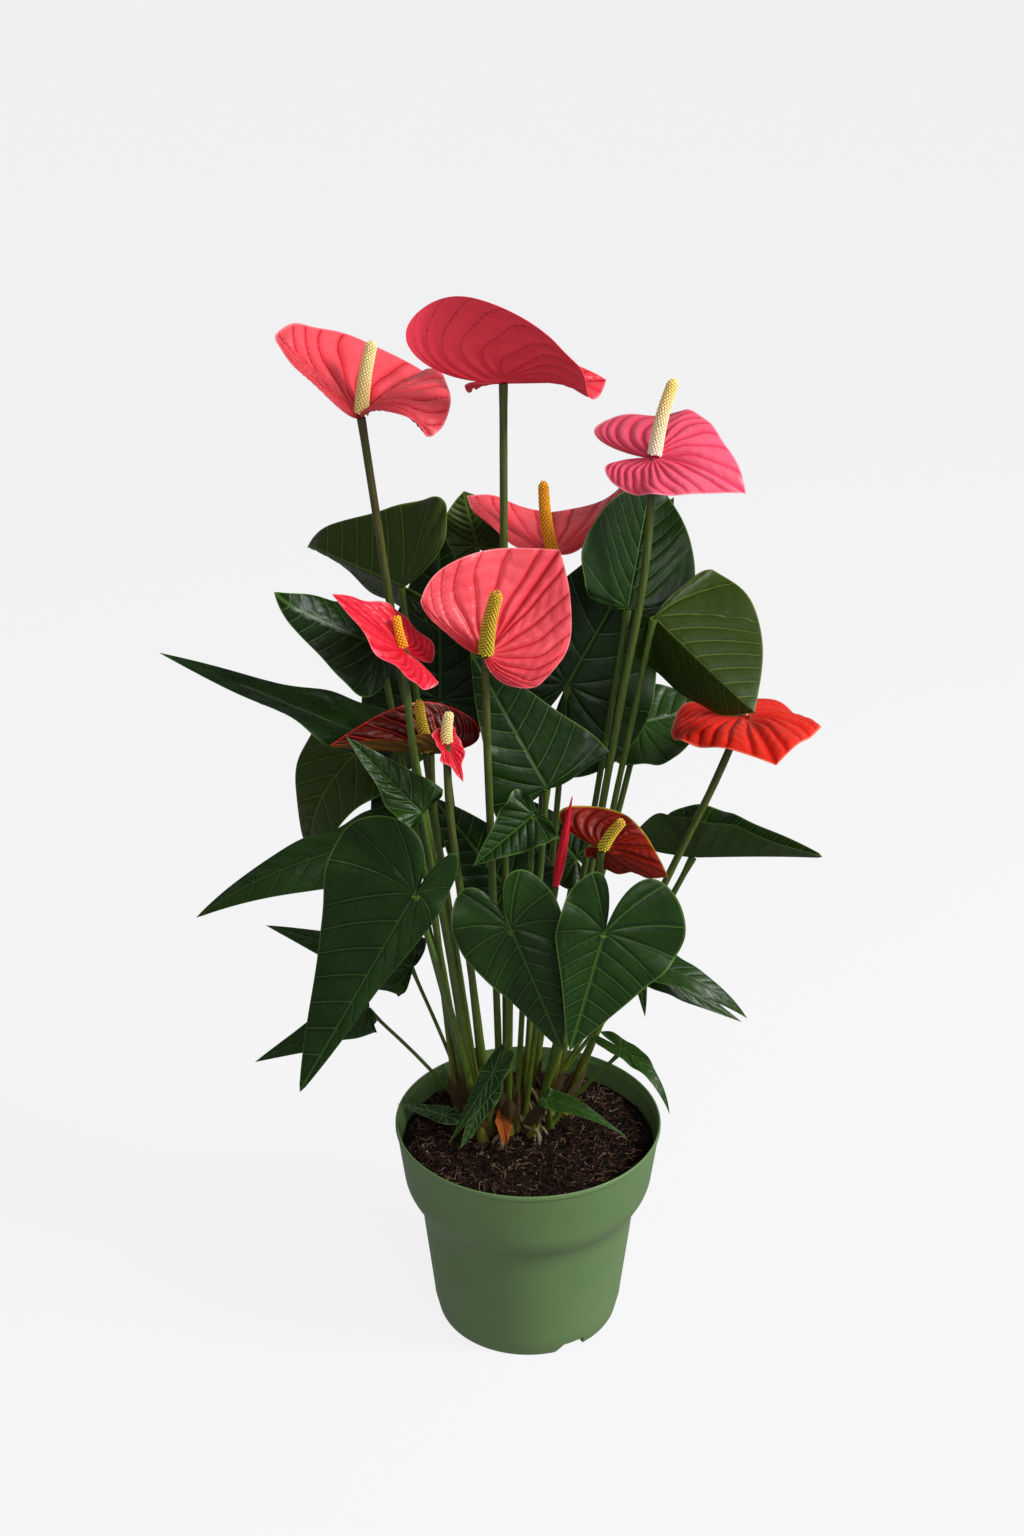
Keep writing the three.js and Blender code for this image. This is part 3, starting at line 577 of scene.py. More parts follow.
def blade_object(name, blade, outline, veins, finish, shape, columns=COLUMNS, rings=RINGS):
    """A closed blade with an upper face, a lower face and an edge."""
    f = blade_fields(blade, outline, veins, columns, rings)
    height = relief(f, *(shape[k] for k in ("depth", "width", "quilt", "wave")), shape.get("seed", 0))
    middle, normal = surface_points(blade, f["s"], f["t"]), surface_normals(blade, f["s"], f["t"])
    half = shape["thick"] / 2 * (0.45 + 0.55 * smooth_step(0, 3, f["edge"]))
    sheets = [middle + normal * (height + sign * half)[..., None] for sign in (1, -1)]
    count = columns * rings + 1
    points = np.concatenate([np.concatenate([p[0, :1], p[1:].reshape(-1, 3)]) for p in sheets])
    piece = closed_object(name, points, blade_faces(columns, rings))
    mesh = piece.data
    shade_smooth(mesh)
    ends = np.zeros(len(mesh.edges) * 2, int)
    mesh.edges.foreach_get("vertices", ends)
    sheet, number = np.divmod(ends.reshape(-1, 2), count)
    on_rim = (number >= count - columns).all(1) & (sheet[:, 0] == sheet[:, 1])
    mesh.attributes.new("sharp_edge", "BOOLEAN", "EDGE").data.foreach_set("value", on_rim)
    both = {key: on_both_faces(f[key]) for key in ("phase", "pitch", "middle", "s", "t", "edge", "rho")}
    vein = np.stack([both["phase"], both["pitch"], both["middle"]], -1)
    flat = np.stack([both["s"], both["t"], 0 * both["s"]], -1) * f["chord"]
    set_fields(mesh, vein=vein, flat=flat, edge=both["edge"], rho=both["rho"],
               under=np.repeat([0.0, 1.0], count), tint=np.full(2 * count, shape.get("tint", 0.0)))
    mesh.materials.append(finish)
    return piece


print("a blade has", 2 * (COLUMNS * RINGS + 1), "points")

# %% [markdown]
# ## Living leaf
# An anthurium leaf has a waxy skin: dark green, with a soft gloss above and a duller, greyer green
# below. Veins are a paler line, and the margin is a thin pale rim. The vein field that each point
# carries becomes lines of a real width: they fade out 0.7 mm from a side vein and 1.4 mm from the
# midrib. Leaves that catch the light are more olive, so there are two finishes.

# %% Leaf material
def vein_lines(tree, half_width, spine_width):
    """Nodes that turn the vein field into a mask: 1 on a vein, 0 between veins."""
    field = add(tree, "ShaderNodeAttribute", attribute_name="vein")
    parts = add(tree, "ShaderNodeSeparateXYZ", {0: field.outputs["Vector"]})
    wave = add(tree, "ShaderNodeMath", {0: parts.outputs[0], 1: 0.5}, operation="PINGPONG")
    away = add(tree, "ShaderNodeMath", {0: wave, 1: parts.outputs[1]}, operation="MULTIPLY")
    side = add(tree, "ShaderNodeMapRange", {"Value": away, 1: half_width, 2: 0.0, 3: 0.0, 4: 1.0},
               interpolation_type="SMOOTHSTEP")
    spine = add(tree, "ShaderNodeMapRange", {"Value": parts.outputs[2], 1: spine_width, 2: 0.0,
                                             3: 0.0, 4: 1.0}, interpolation_type="SMOOTHSTEP")
    rho = add(tree, "ShaderNodeAttribute", attribute_name="rho")
    clear = add(tree, "ShaderNodeMapRange", {"Value": rho.outputs["Fac"], 1: 0.02, 2: 0.16, 3: 0.0, 4: 1.0})
    side = add(tree, "ShaderNodeMath", {0: side, 1: clear}, operation="MULTIPLY")
    return add(tree, "ShaderNodeMath", {0: side, 1: spine}, operation="MAXIMUM")


def blade_finish(name, deep, pale, vein, margin, under, gloss, vein_width, bump):
    """A waxy blade: mottled deep to pale, with veins and painted shade beside them, a margin and a duller
    underside.
    """
    material, tree = new_material(name)
    flat = add(tree, "ShaderNodeAttribute", attribute_name="flat").outputs["Vector"]
    mottle = add(tree, "ShaderNodeTexNoise", {"Vector": flat, "Scale": 0.05, "Detail": 4.0})
    tint = add(tree, "ShaderNodeAttribute", attribute_name="tint").outputs["Fac"]
    shade = add(tree, "ShaderNodeMath", {0: mottle.outputs["Fac"], 1: 0.55, 2: -0.12},
                operation="MULTIPLY_ADD")
    shade = add(tree, "ShaderNodeMath", {0: shade, 1: tint}, operation="ADD")
    # Painted shade: within a few vein widths of each vein or rib the body darkens towards the deep colour,
    # as if shade lay in the grooves.
    painted_groove_shade = vein_lines(tree, vein_width * 4, vein_width * 5)
    shade = add(tree, "ShaderNodeMath", {0: painted_groove_shade, 1: -0.35, 2: shade},
                operation="MULTIPLY_ADD", use_clamp=True)
    body = add(tree, "ShaderNodeMix", {0: shade, "A": linear(deep), "B": linear(pale)}, data_type="RGBA")
    lines = vein_lines(tree, vein_width, vein_width * 2)
    net = add(tree, "ShaderNodeTexVoronoi", {"Vector": flat, "Scale": 0.45}, feature="DISTANCE_TO_EDGE")
    mesh_line = add(tree, "ShaderNodeMapRange", {"Value": net, 1: 0.1, 2: 0.0, 3: 0.0, 4: 0.12})
    both = add(tree, "ShaderNodeMath", {0: lines, 1: mesh_line}, operation="MAXIMUM")
    veined = add(tree, "ShaderNodeMix", {0: both, "A": body, "B": linear(vein)}, data_type="RGBA")
    edge = add(tree, "ShaderNodeAttribute", attribute_name="edge").outputs["Fac"]
    rim = add(tree, "ShaderNodeMapRange", {"Value": edge, 1: 1.1, 2: 0.2, 3: 0.0, 4: 0.8})
    upper = add(tree, "ShaderNodeMix", {0: rim, "A": veined, "B": linear(margin)}, data_type="RGBA")
    faint = add(tree, "ShaderNodeMath", {0: lines, 1: 0.35}, operation="MULTIPLY")
    below = add(tree, "ShaderNodeMix", {0: faint, "A": linear(under), "B": linear(vein)}, data_type="RGBA")
    side = add(tree, "ShaderNodeAttribute", attribute_name="under").outputs["Fac"]
    colour = add(tree, "ShaderNodeMix", {0: side, "A": upper, "B": below}, data_type="RGBA")
    patch = add(tree, "ShaderNodeTexNoise", {"Vector": flat, "Scale": 0.12, "Detail": 3.0})
    rough = add(tree, "ShaderNodeMapRange", {"Value": patch.outputs["Fac"], 1: 0.3, 2: 0.7,
                                             3: gloss - 0.06, 4: gloss + 0.08})
    rough = add(tree, "ShaderNodeMath", {0: side, 1: 0.18, 2: rough}, operation="MULTIPLY_ADD")
    fine = add(tree, "ShaderNodeTexNoise", {"Vector": flat, "Scale": 0.6, "Detail": 4.0})
    swell = add(tree, "ShaderNodeMath", {0: both, 1: -0.7, 2: fine.outputs["Fac"]}, operation="MULTIPLY_ADD")
    textured_surface(tree, colour, rough, swell, bump, 0.4, {"IOR": 1.42, "Specular IOR Level": 0.28})
    return material


LEAF_VEIN, LEAF_BUMP = 0.7, 0.3
leaf_finish = blade_finish("waxy_leaf", "#0a2006", "#28490f", "#36551c", "#54702e", "#33471f", 0.36,
                           LEAF_VEIN, LEAF_BUMP)
olive_finish = blade_finish("olive_leaf", "#152502", "#324405", "#4c6016", "#68782c", "#46581a", 0.46,
                            LEAF_VEIN, LEAF_BUMP)
print(leaf_finish.name, "and", olive_finish.name, "are ready")

# %% [markdown]
# ## Stems by Geometry Nodes
# A stem is a path with a thickness. The tree below takes the few points of a path, draws a smooth
# curve through them, and sweeps a circle along it. The foot widens into a sheath, and under a leaf
# a short joint swells, as the real stalk does where it turns the blade to the light.

# %% Stem tree
def new_tree(name, sockets):
    """An empty geometry tree with named inputs: (name, kind, default)."""
    tree = bpy.data.node_groups.new(name, "GeometryNodeTree")
    tree.is_modifier = True
    tree.interface.new_socket("Geometry", in_out="INPUT", socket_type="NodeSocketGeometry")
    for title, kind, value in sockets:
        socket = tree.interface.new_socket(title, in_out="INPUT", socket_type=kind)
        if value is not None:
            socket.default_value = value
    tree.interface.new_socket("Geometry", in_out="OUTPUT", socket_type="NodeSocketGeometry")
    return tree, add(tree, "NodeGroupInput")


def finish_tree(tree, geometry, finish=None):
    """Ends a tree with real geometry, finish and the output."""
    real = add(tree, "GeometryNodeRealizeInstances", {0: geometry})
    if finish is not None:
        real = add(tree, "GeometryNodeSetMaterial", {"Geometry": real, "Material": finish})
    add(tree, "NodeGroupOutput", {0: real})


def stem_tree():
    """A path becomes a round stem with a wide foot and a swollen joint."""
    tree, given = new_tree("stem", [
        ("Radius", "NodeSocketFloat", 2 * MM), ("Foot swelling", "NodeSocketFloat", 0.8),
        ("Foot length", "NodeSocketFloat", 30 * MM), ("Joint swelling", "NodeSocketFloat", 0.3),
        ("Joint length", "NodeSocketFloat", 14 * MM), ("Tone", "NodeSocketFloat", 0.0),
        ("Finish", "NodeSocketMaterial", None)])
    curve = add(tree, "GeometryNodeMeshToCurve", {"Mesh": given.outputs["Geometry"]})
    curve = add(tree, "GeometryNodeCurveSplineType", {"Curve": curve}, spline_type="CATMULL_ROM")
    curve = add(tree, "GeometryNodeSetSplineResolution", {0: curve, "Resolution": 12})
    curve = add(tree, "GeometryNodeResampleCurve", {"Curve": curve, "Length": 2.5 * MM}, mode="LENGTH")
    place = add(tree, "GeometryNodeSplineParameter")
    whole = add(tree, "GeometryNodeSplineLength")
    foot = add(tree, "ShaderNodeMapRange", {
        "Value": place.outputs["Length"], 1: given.outputs["Foot length"],
        2: 0.0, 3: 0.0, 4: given.outputs["Foot swelling"]}, interpolation_type="SMOOTHSTEP")
    left = add(tree, "ShaderNodeMath", {0: whole.outputs["Length"], 1: place.outputs["Length"]},
               operation="SUBTRACT")
    joint = add(tree, "ShaderNodeMapRange", {"Value": left, 1: given.outputs["Joint length"],
                2: 0.0, 3: 0.0, 4: given.outputs["Joint swelling"]}, interpolation_type="SMOOTHSTEP")
    ripple = add(tree, "ShaderNodeTexNoise", {"Scale": 60.0})
    uneven = add(tree, "ShaderNodeMath", {0: ripple.outputs["Fac"], 1: 0.16, 2: 0.92},
                 operation="MULTIPLY_ADD")
    swell = add(tree, "ShaderNodeMath", {0: foot, 1: joint}, operation="ADD")
    swell = add(tree, "ShaderNodeMath", {0: swell, 1: uneven}, operation="ADD")
    width = add(tree, "ShaderNodeMath", {0: swell, 1: given.outputs["Radius"]}, operation="MULTIPLY")
    for name, value in (("along", place.outputs["Factor"]), ("tone", given.outputs["Tone"])):
        curve = add(tree, "GeometryNodeStoreNamedAttribute", {
            "Geometry": curve, "Name": name, "Value": value}, data_type="FLOAT", domain="POINT")
    ring = add(tree, "GeometryNodeCurvePrimitiveCircle", {"Resolution": 12, "Radius": 1.0}, mode="RADIUS")
    tube = add(tree, "GeometryNodeCurveToMesh", {"Curve": curve, "Profile Curve": ring, "Scale": width,
                                                 "Fill Caps": True})
    finish_tree(tree, tube, given.outputs["Finish"])
    return tree


stems_grow = stem_tree()
print("the stem tree has", len(stems_grow.nodes), "nodes")

# %% [markdown]
# ## Growing one piece
# A path is a mesh of points and edges. The modifier gets its inputs by the sockets' identifiers,
# the evaluated result becomes a plain mesh, and the modifier is gone before the piece is used.

# %% Growing helpers
def path_object(name, points):
    """A bare path through points given in millimetres."""
    mesh = bpy.data.meshes.new(name)
    mesh.from_pydata((np.array(points) * MM).tolist(), [(i, i + 1) for i in range(len(points) - 1)], [])
    return new_object(name, mesh)


def grown(start, tree, name, **values):
    """Runs a geometry tree on an object and returns the result as a plain object."""
    modifier = start.modifiers.new("grow", "NODES")
    modifier.node_group = tree
    sockets = {s.name: s.identifier for s in tree.interface.items_tree if s.in_out == "INPUT"}
    for title, value in values.items():
        modifier[sockets[title.replace("_", " ")]] = value
    scene_graph = bpy.context.evaluated_depsgraph_get()
    mesh = bpy.data.meshes.new_from_object(start.evaluated_get(scene_graph))
    bpy.data.objects.remove(start)
    mesh.name = name
    shade_smooth(mesh)
    return new_object(name, mesh)


def joined(name, pieces):
    """Several plain objects as one."""
    with bpy.context.temp_override(active_object=pieces[0], selected_editable_objects=pieces,
                                   selected_objects=pieces, object=pieces[0]):
        bpy.ops.object.join()
    pieces[0].name = name
    pieces[0].data.name = name
    return pieces[0]


def place_piece(piece, slot, *nodes):
    """Puts a finished piece on the plant: it rides on the root and stands for its solids."""
    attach(piece, "root")
    if nodes:
        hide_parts(*nodes)
    return piece


print("pieces are grown, then placed")

# %% [markdown]
# ## Stem skin
# A young stalk is smooth and green. A flower stalk is olive, and browner towards the flower. Fine
# streaks run along both, and the skin has a soft gloss.

# %% Stem material
def skin_finish(name, foot, low, high, brown, rough):
    """A stalk's skin: from foot and low to high along its length, browned by its tone."""
    material, tree = new_material(name)
    along = add(tree, "ShaderNodeAttribute", attribute_name="along").outputs["Fac"]
    tone = add(tree, "ShaderNodeAttribute", attribute_name="tone").outputs["Fac"]
    place = add(tree, "ShaderNodeTexCoord").outputs["Object"]
    long = add(tree, "ShaderNodeMapping", {"Vector": place, "Scale": (900.0, 900.0, 60.0)})
    streak = add(tree, "ShaderNodeTexNoise", {"Vector": long, "Scale": 1.0, "Detail": 3.0})
    blotch = add(tree, "ShaderNodeTexNoise", {"Vector": place, "Scale": 45.0, "Detail": 2.0})
    base = add(tree, "ShaderNodeMix", {0: along, "A": linear(low), "B": linear(high)}, data_type="RGBA")
    near_foot = add(tree, "ShaderNodeMapRange", {"Value": along, 1: 0.0, 2: 0.22, 3: 0.85, 4: 0.0})
    base = add(tree, "ShaderNodeMix", {0: near_foot, "A": base, "B": linear(foot)}, data_type="RGBA")
    upper = add(tree, "ShaderNodeMapRange", {"Value": along, 1: 0.25, 2: 0.95, 3: 0.1, 4: 1.0})
    patchy = add(tree, "ShaderNodeMapRange", {"Value": blotch.outputs["Fac"], 1: 0.35, 2: 0.65,
                                              3: 0.55, 4: 1.0})
    share = add(tree, "ShaderNodeMath", {0: upper, 1: tone}, operation="MULTIPLY")
    share = add(tree, "ShaderNodeMath", {0: share, 1: patchy}, operation="MULTIPLY", use_clamp=True)
    body = add(tree, "ShaderNodeMix", {0: share, "A": base, "B": linear(brown)}, data_type="RGBA")
    dark = add(tree, "ShaderNodeMapRange", {"Value": streak.outputs["Fac"], 1: 0.35, 2: 0.65,
                                            3: 0.72, 4: 1.12})
    colour = add(tree, "ShaderNodeVectorMath", {0: body, "Scale": dark}, operation="SCALE")
    textured_surface(tree, colour, rough, streak.outputs["Fac"], 0.3, 0.3, {"IOR": 1.45})
    return material


stalk_finish = skin_finish("stalk_skin", "#7a7230", "#566a1e", "#46621e", "#46341a", 0.42)
root_finish = skin_finish("aerial_root_skin", "#6c5c3c", "#7c6c4c", "#8a7f64", "#40301e", 0.75)
print(stalk_finish.name, "ready")

# %% [markdown]
# ## The leaves
# Each leaf is a blade with its stalk. The size of the cushions between the veins, the wave of the
# margin and how light its green is differ from leaf to leaf. The lightest ones are olive.

# %% Growing the leaves
OLIVE_FROM = 0.4
STALK_DEPTH, BLADE_GAP = 7, 0.9
LEAF_SHAPE = dict(thick=0.6, depth=0.4, width=1.1, quilt=0.5, wave=2.0)
TINTS = {
    "leaf_left_top": 0.4, "leaf_left_hanging": 0.45, "leaf_right_winged": 0.4, "leaf_right_folded": 0.15,
    "leaf_left_long": 0.15, "leaf_left_low_long": 0.35, "leaf_left_funnel": 0.3, "leaf_centre_small": 0.2,
    "leaf_right_back": 0.35, "leaf_left_low": 0.3, "leaf_left_low_back": 0.3, "leaf_back_top": 0.5,
    "leaf_front_left": 0.12, "leaf_front_middle": 0.22, "leaf_front_right": 0.22,
}


def stalk_piece(name, stem, **values):
    """A stem's path, set a little into the mix and just under its blade, grown to a round stalk."""
    p = stem["points"]
    foot = p[0] - unit(p[1] - p[0]) * STALK_DEPTH
    top = p[-1] - unit(p[-1] - p[-2]) * BLADE_GAP
    inputs = dict(Radius=stem["radius"] * MM, Finish=stalk_finish)
    return grown(path_object(name, [foot, *p[:-1], top]), stems_grow, name, **{**inputs, **values})


def seed_of(name):
    """A number below 17 that always belongs to the same name."""
    return sum(map(ord, name)) % 17


def leaf_piece(name, blade, stem, finish, **shape):
    """One leaf: blade and stalk."""
    style = {**LEAF_SHAPE, "seed": seed_of(name), "tint": TINTS.get(name, 0.0), **shape}
    parts = [blade_object(name, blade, LEAF_OUTLINE, leaf_veins, finish, style),
             stalk_piece(name, stem, Foot_swelling=1.3, Joint_swelling=0.35, Tone=0.15)]
    return joined(name.replace("leaf_", "blade_"), parts)


for leaf, stem in zip(LEAVES, leaf_stems):
    finish = olive_finish if TINTS.get(leaf["name"], 0) >= OLIVE_FROM else leaf_finish
    place_piece(leaf_piece(leaf["name"], leaf, stem, finish), "leaf", leaf["name"])
print(len(LEAVES), "leaves have grown")

# %% [markdown]
# ## The young shoots
# Small leaves on thin stalks grow from the crown's edge. They are narrower than their solids, nearly
# flat, and several stalks share one foot.

# %% Growing the shoots
SHOOT_NARROWER = 0.65
SHOOT_SHAPE = dict(wave=0.8, thick=0.5, quilt=0.1, depth=0.2)
SHOOT_TINTS = {"offshoot_front": 0.05, "offshoot_right": 0.4, "offshoot_back_right": 0.2}
for shoot, stems in zip(OFFSHOOTS, shoot_stems):
    name = shoot["name"]
    parts = []
    for i, (leaf, stem) in enumerate(zip(shoot["leaves"], stems)):
        leaf = {**leaf, "broad": np.multiply(leaf["broad"], SHOOT_NARROWER)}
        parts.append(leaf_piece(f"{name}_{i}", leaf, stem, leaf_finish,
                                tint=SHOOT_TINTS[name], **SHOOT_SHAPE))
    place_piece(joined(name.replace("offshoot", "shoot"), parts), "leaf", name)
print(len(OFFSHOOTS), "shoots have grown")

# %% [markdown]
# ## The spathes
# A spathe is a waxy, coloured leaf around the flower spike. Its ribs are pressed in from above, and
# between them it is puffed up into cushions, which is what gives a flamingo flower its sparkle. Each
# row of colours names the deep and the pale body, the ribs, the margin and the underside, then how
# rough the skin is and how wide its ribs are. The red row's underside is painted brighter than its
# upper face: painted light on undersides that lie in shade.

# %% Spathe materials
SPATHE_BUMP = 0.5
SPATHE_COLOURS = {
    # Painted light: the red underside colour is brighter than the upper face's colours, to brighten
    # undersides that lie in shade.
    "red": ("#cc182c", "#ea4656", "#aa1022", "#ee7480", "#fb4256", 0.32, 0.6),
    "coral": ("#cc2230", "#f4626c", "#b01824", "#f0848a", "#e04450", 0.32, 0.6),
    "rose": ("#da3454", "#f8748c", "#cc3054", "#f49aa6", "#d84864", 0.34, 0.6),
    "orange": ("#c41a10", "#e6402c", "#ac120a", "#f07a5c", "#b83020", 0.28, 0.6),
    "maroon": ("#380a08", "#8a2418", "#ac2a1c", "#e4282c", "#70541e", 0.3, 0.8),
    "russet": ("#6a1008", "#ac2a16", "#8c240e", "#b8982e", "#7a541e", 0.3, 0.6),
}
SPATHE_FINISHES = {kind: blade_finish(f"waxy_spathe_{kind}", *values, SPATHE_BUMP)
                   for kind, values in SPATHE_COLOURS.items()}
print(len(SPATHE_FINISHES), "spathe finishes")

# %% Growing the spathes
SPATHE_COLUMNS, SPATHE_RINGS = 180, 40
SPATHE_SLOTS = {"rose": "spathe_pink", "maroon": "spathe_maroon", "russet": "spathe_maroon"}
SPATHE_SHAPE = dict(thick=0.55, depth=0.8, width=1.2, quilt=1.1, wave=1.5)
SPATHE_LOOKS = {
    "flower_left_tall": ("coral", 0.4), "flower_mid_tall": ("red", 0.25),
    "flower_right_tall": ("rose", 0.35),
    "flower_left_small": ("red", 0.1), "flower_centre_large": ("coral", 0.4), "flower_back": ("coral", 0.4),
    "flower_left_dark": ("maroon", 0.1), "flower_young": ("red", 0.1), "flower_right_low": ("orange", 0.2),
    "flower_front_low": ("russet", 0.1),
}
for flower in FLOWERS:
    kind, tint = SPATHE_LOOKS[flower["name"]]
    style = {**SPATHE_SHAPE, "seed": seed_of(flower["name"]), "tint": tint}
    if kind == "rose":
        style.update(depth=0.5, quilt=0.6)
    spathe = blade_object(flower["name"].replace("flower_", "spathe_"), flower, SPATHE_OUTLINE, spathe_ribs,
                          SPATHE_FINISHES[kind], style, SPATHE_COLUMNS, SPATHE_RINGS)
    place_piece(spathe, SPATHE_SLOTS.get(kind, "spathe_red"), flower["name"] + "_spathe")
print(len(FLOWERS), "spathes have grown")

# %% [markdown]
# ## The flower stalks
# They carry no joint under the spathe. Their foot is thick, and their skin turns brown towards the
# top.

# %% Growing the flower stalks
USUAL_TONE = 0.65
TONES = {"flower_left_tall": 0.9, "flower_left_small": 0.3, "flower_front_low": 0.4,
         "flower_right_tall": 0.45}
for flower, stem in zip(FLOWERS, flower_stems):
    name = flower["name"] + "_stem"
    stalk = stalk_piece(name.replace("flower_", "stalk_"), stem, Foot_swelling=0.7, Joint_swelling=0.12,
                        Tone=TONES.get(flower["name"], USUAL_TONE))
    place_piece(stalk, "flower_stem", name)
print(len(FLOWERS), "flower stalks have grown")

# %% [markdown]
# ## The spadix
# The spike is packed with tiny flowers, each about 1.6 mm across, in spirals. Geometry Nodes set
# them out by the rule that plants follow: each next one turns by the golden angle of 137.5 degrees
# and sits a little higher.

# %% Spadix materials
def spadix_finish(name, low, high, pore, rough):
    """Floret skin: from low to high along the spike, with darker pores."""
    material, tree = new_material(name)
    along = add(tree, "ShaderNodeAttribute", attribute_name="along").outputs["Fac"]
    place = add(tree, "ShaderNodeTexCoord").outputs["Object"]
    grain = add(tree, "ShaderNodeTexNoise", {"Vector": place, "Scale": 900.0, "Detail": 2.0})
    base = add(tree, "ShaderNodeMix", {0: along, "A": linear(low), "B": linear(high)}, data_type="RGBA")
    share = add(tree, "ShaderNodeMapRange", {"Value": grain.outputs["Fac"], 1: 0.45, 2: 0.7, 3: 0.0, 4: 0.6})
    colour = add(tree, "ShaderNodeMix", {0: share, "A": base, "B": linear(pore)}, data_type="RGBA")
    textured_surface(tree, colour, rough, grain.outputs["Fac"], 0.4, 0.2, {"IOR": 1.45})
    return material


# Each kind has a floret finish and a darker second finish for the core, which shows only in the gaps between
# the florets: painted shade.
SPIKES = {
    "cream": (spadix_finish("spadix_cream", "#ecd692", "#f4e4a4", "#e0c47c", 0.6),
              spadix_finish("spadix_cream_gap", "#d6b060", "#e2c070", "#c09a4c", 0.7)),
    "pale": (spadix_finish("spadix_pale", "#f8ecda", "#f6d860", "#ecd9bc", 0.6),
             spadix_finish("spadix_pale_gap", "#e8cdb4", "#e6bc48", "#d8b394", 0.7)),
    "amber": (spadix_finish("spadix_amber", "#f2a818", "#f6b21c", "#e08a10", 0.55),
              spadix_finish("spadix_amber_gap", "#c8680c", "#d87c10", "#a85008", 0.7)),
    "gold": (spadix_finish("spadix_gold", "#c9b62a", "#dcae30", "#8f8a20", 0.6),
             spadix_finish("spadix_gold_gap", "#6f6a14", "#8c5a14", "#4f4a10", 0.7)),
}
print(len(SPIKES), "kinds of spike")

# %% Spadix tree
GOLDEN_ANGLE = 137.508


def spadix_tree():
    """A path becomes a tapering club covered with florets in golden-angle spirals."""
    tree, given = new_tree("spadix", [
        ("Radius", "NodeSocketFloat", 3.5 * MM), ("Florets", "NodeSocketInt", 300),
        ("Floret size", "NodeSocketFloat", 0.9 * MM), ("Floret finish", "NodeSocketMaterial", None),
        ("Core finish", "NodeSocketMaterial", None)])
    curve = add(tree, "GeometryNodeMeshToCurve", {"Mesh": given.outputs["Geometry"]})
    curve = add(tree, "GeometryNodeResampleCurve", {"Curve": curve, "Count": 24})
    factor = add(tree, "GeometryNodeSplineParameter").outputs["Factor"]
    number = add(tree, "GeometryNodeInputIndex")
    rank = add(tree, "ShaderNodeMath", {0: number, 1: given.outputs["Florets"]}, operation="DIVIDE")
    widths = []
    for share in (factor, rank):
        slope = add(tree, "ShaderNodeMapRange", {"Value": share, 1: 0.1, 2: 0.95, 3: 1.0, 4: 0.78})
        tip = add(tree, "ShaderNodeMapRange", {"Value": share, 1: 1.0, 2: 0.93, 3: 0.45, 4: 1.0},
                  interpolation_type="SMOOTHSTEP")
        whole = add(tree, "ShaderNodeMath", {0: slope, 1: tip}, operation="MULTIPLY")
        widths.append(add(tree, "ShaderNodeMath", {0: whole, 1: given.outputs["Radius"]},
                          operation="MULTIPLY"))
    core = add(tree, "GeometryNodeStoreNamedAttribute", {
        "Geometry": curve, "Name": "along", "Value": factor}, data_type="FLOAT", domain="POINT")
    ring = add(tree, "GeometryNodeCurvePrimitiveCircle", {"Resolution": 16, "Radius": 0.93}, mode="RADIUS")
    core = add(tree, "GeometryNodeCurveToMesh", {"Curve": core, "Profile Curve": ring,
                                                 "Scale": widths[0], "Fill Caps": True})
    # The core takes the darker finish: painted shade in the gaps between the florets.
    core = add(tree, "GeometryNodeSetMaterial", {"Geometry": core, "Material": given.outputs["Core finish"]})
    seeds = add(tree, "GeometryNodeMeshLine", {"Count": given.outputs["Florets"]})
    sample = add(tree, "GeometryNodeSampleCurve", {"Curves": curve, "Factor": rank}, mode="FACTOR")
    turn = add(tree, "ShaderNodeMath", {0: number, 1: math.radians(GOLDEN_ANGLE)}, operation="MULTIPLY")
    out = add(tree, "ShaderNodeVectorRotate", {"Vector": sample.outputs["Normal"],
              "Axis": sample.outputs["Tangent"], "Angle": turn}, rotation_type="AXIS_ANGLE")
    offset = add(tree, "ShaderNodeVectorMath", {0: out, "Scale": widths[1]}, operation="SCALE")
    place = add(tree, "ShaderNodeVectorMath", {0: sample.outputs["Position"], 1: offset}, operation="ADD")
    seeds = add(tree, "GeometryNodeStoreNamedAttribute", {"Geometry": seeds, "Name": "along", "Value": rank},
                data_type="FLOAT", domain="POINT")
    seeds = add(tree, "GeometryNodeSetPosition", {"Geometry": seeds, "Position": place})
    turned = add(tree, "FunctionNodeAlignRotationToVector", {"Vector": out}, axis="Z")
    floret = add(tree, "GeometryNodeMeshIcoSphere", {"Radius": 1.0, "Subdivisions": 1})
    size = add(tree, "ShaderNodeVectorMath", {0: (1.0, 1.0, 0.7), "Scale": given.outputs["Floret size"]},
               operation="SCALE")
    florets = add(tree, "GeometryNodeInstanceOnPoints", {"Points": seeds, "Instance": floret,
                                                         "Rotation": turned, "Scale": size})
    florets = add(tree, "GeometryNodeRealizeInstances", {0: florets})
    florets = add(tree, "GeometryNodeSetMaterial", {"Geometry": florets,
                                                    "Material": given.outputs["Floret finish"]})
    both = add(tree, "GeometryNodeJoinGeometry")
    tree.links.new(core.outputs[0], both.inputs[0])
    tree.links.new(florets.outputs[0], both.inputs[0])
    finish_tree(tree, both)
    return tree


spikes_grow = spadix_tree()
print("the spadix tree has", len(spikes_grow.nodes), "nodes")

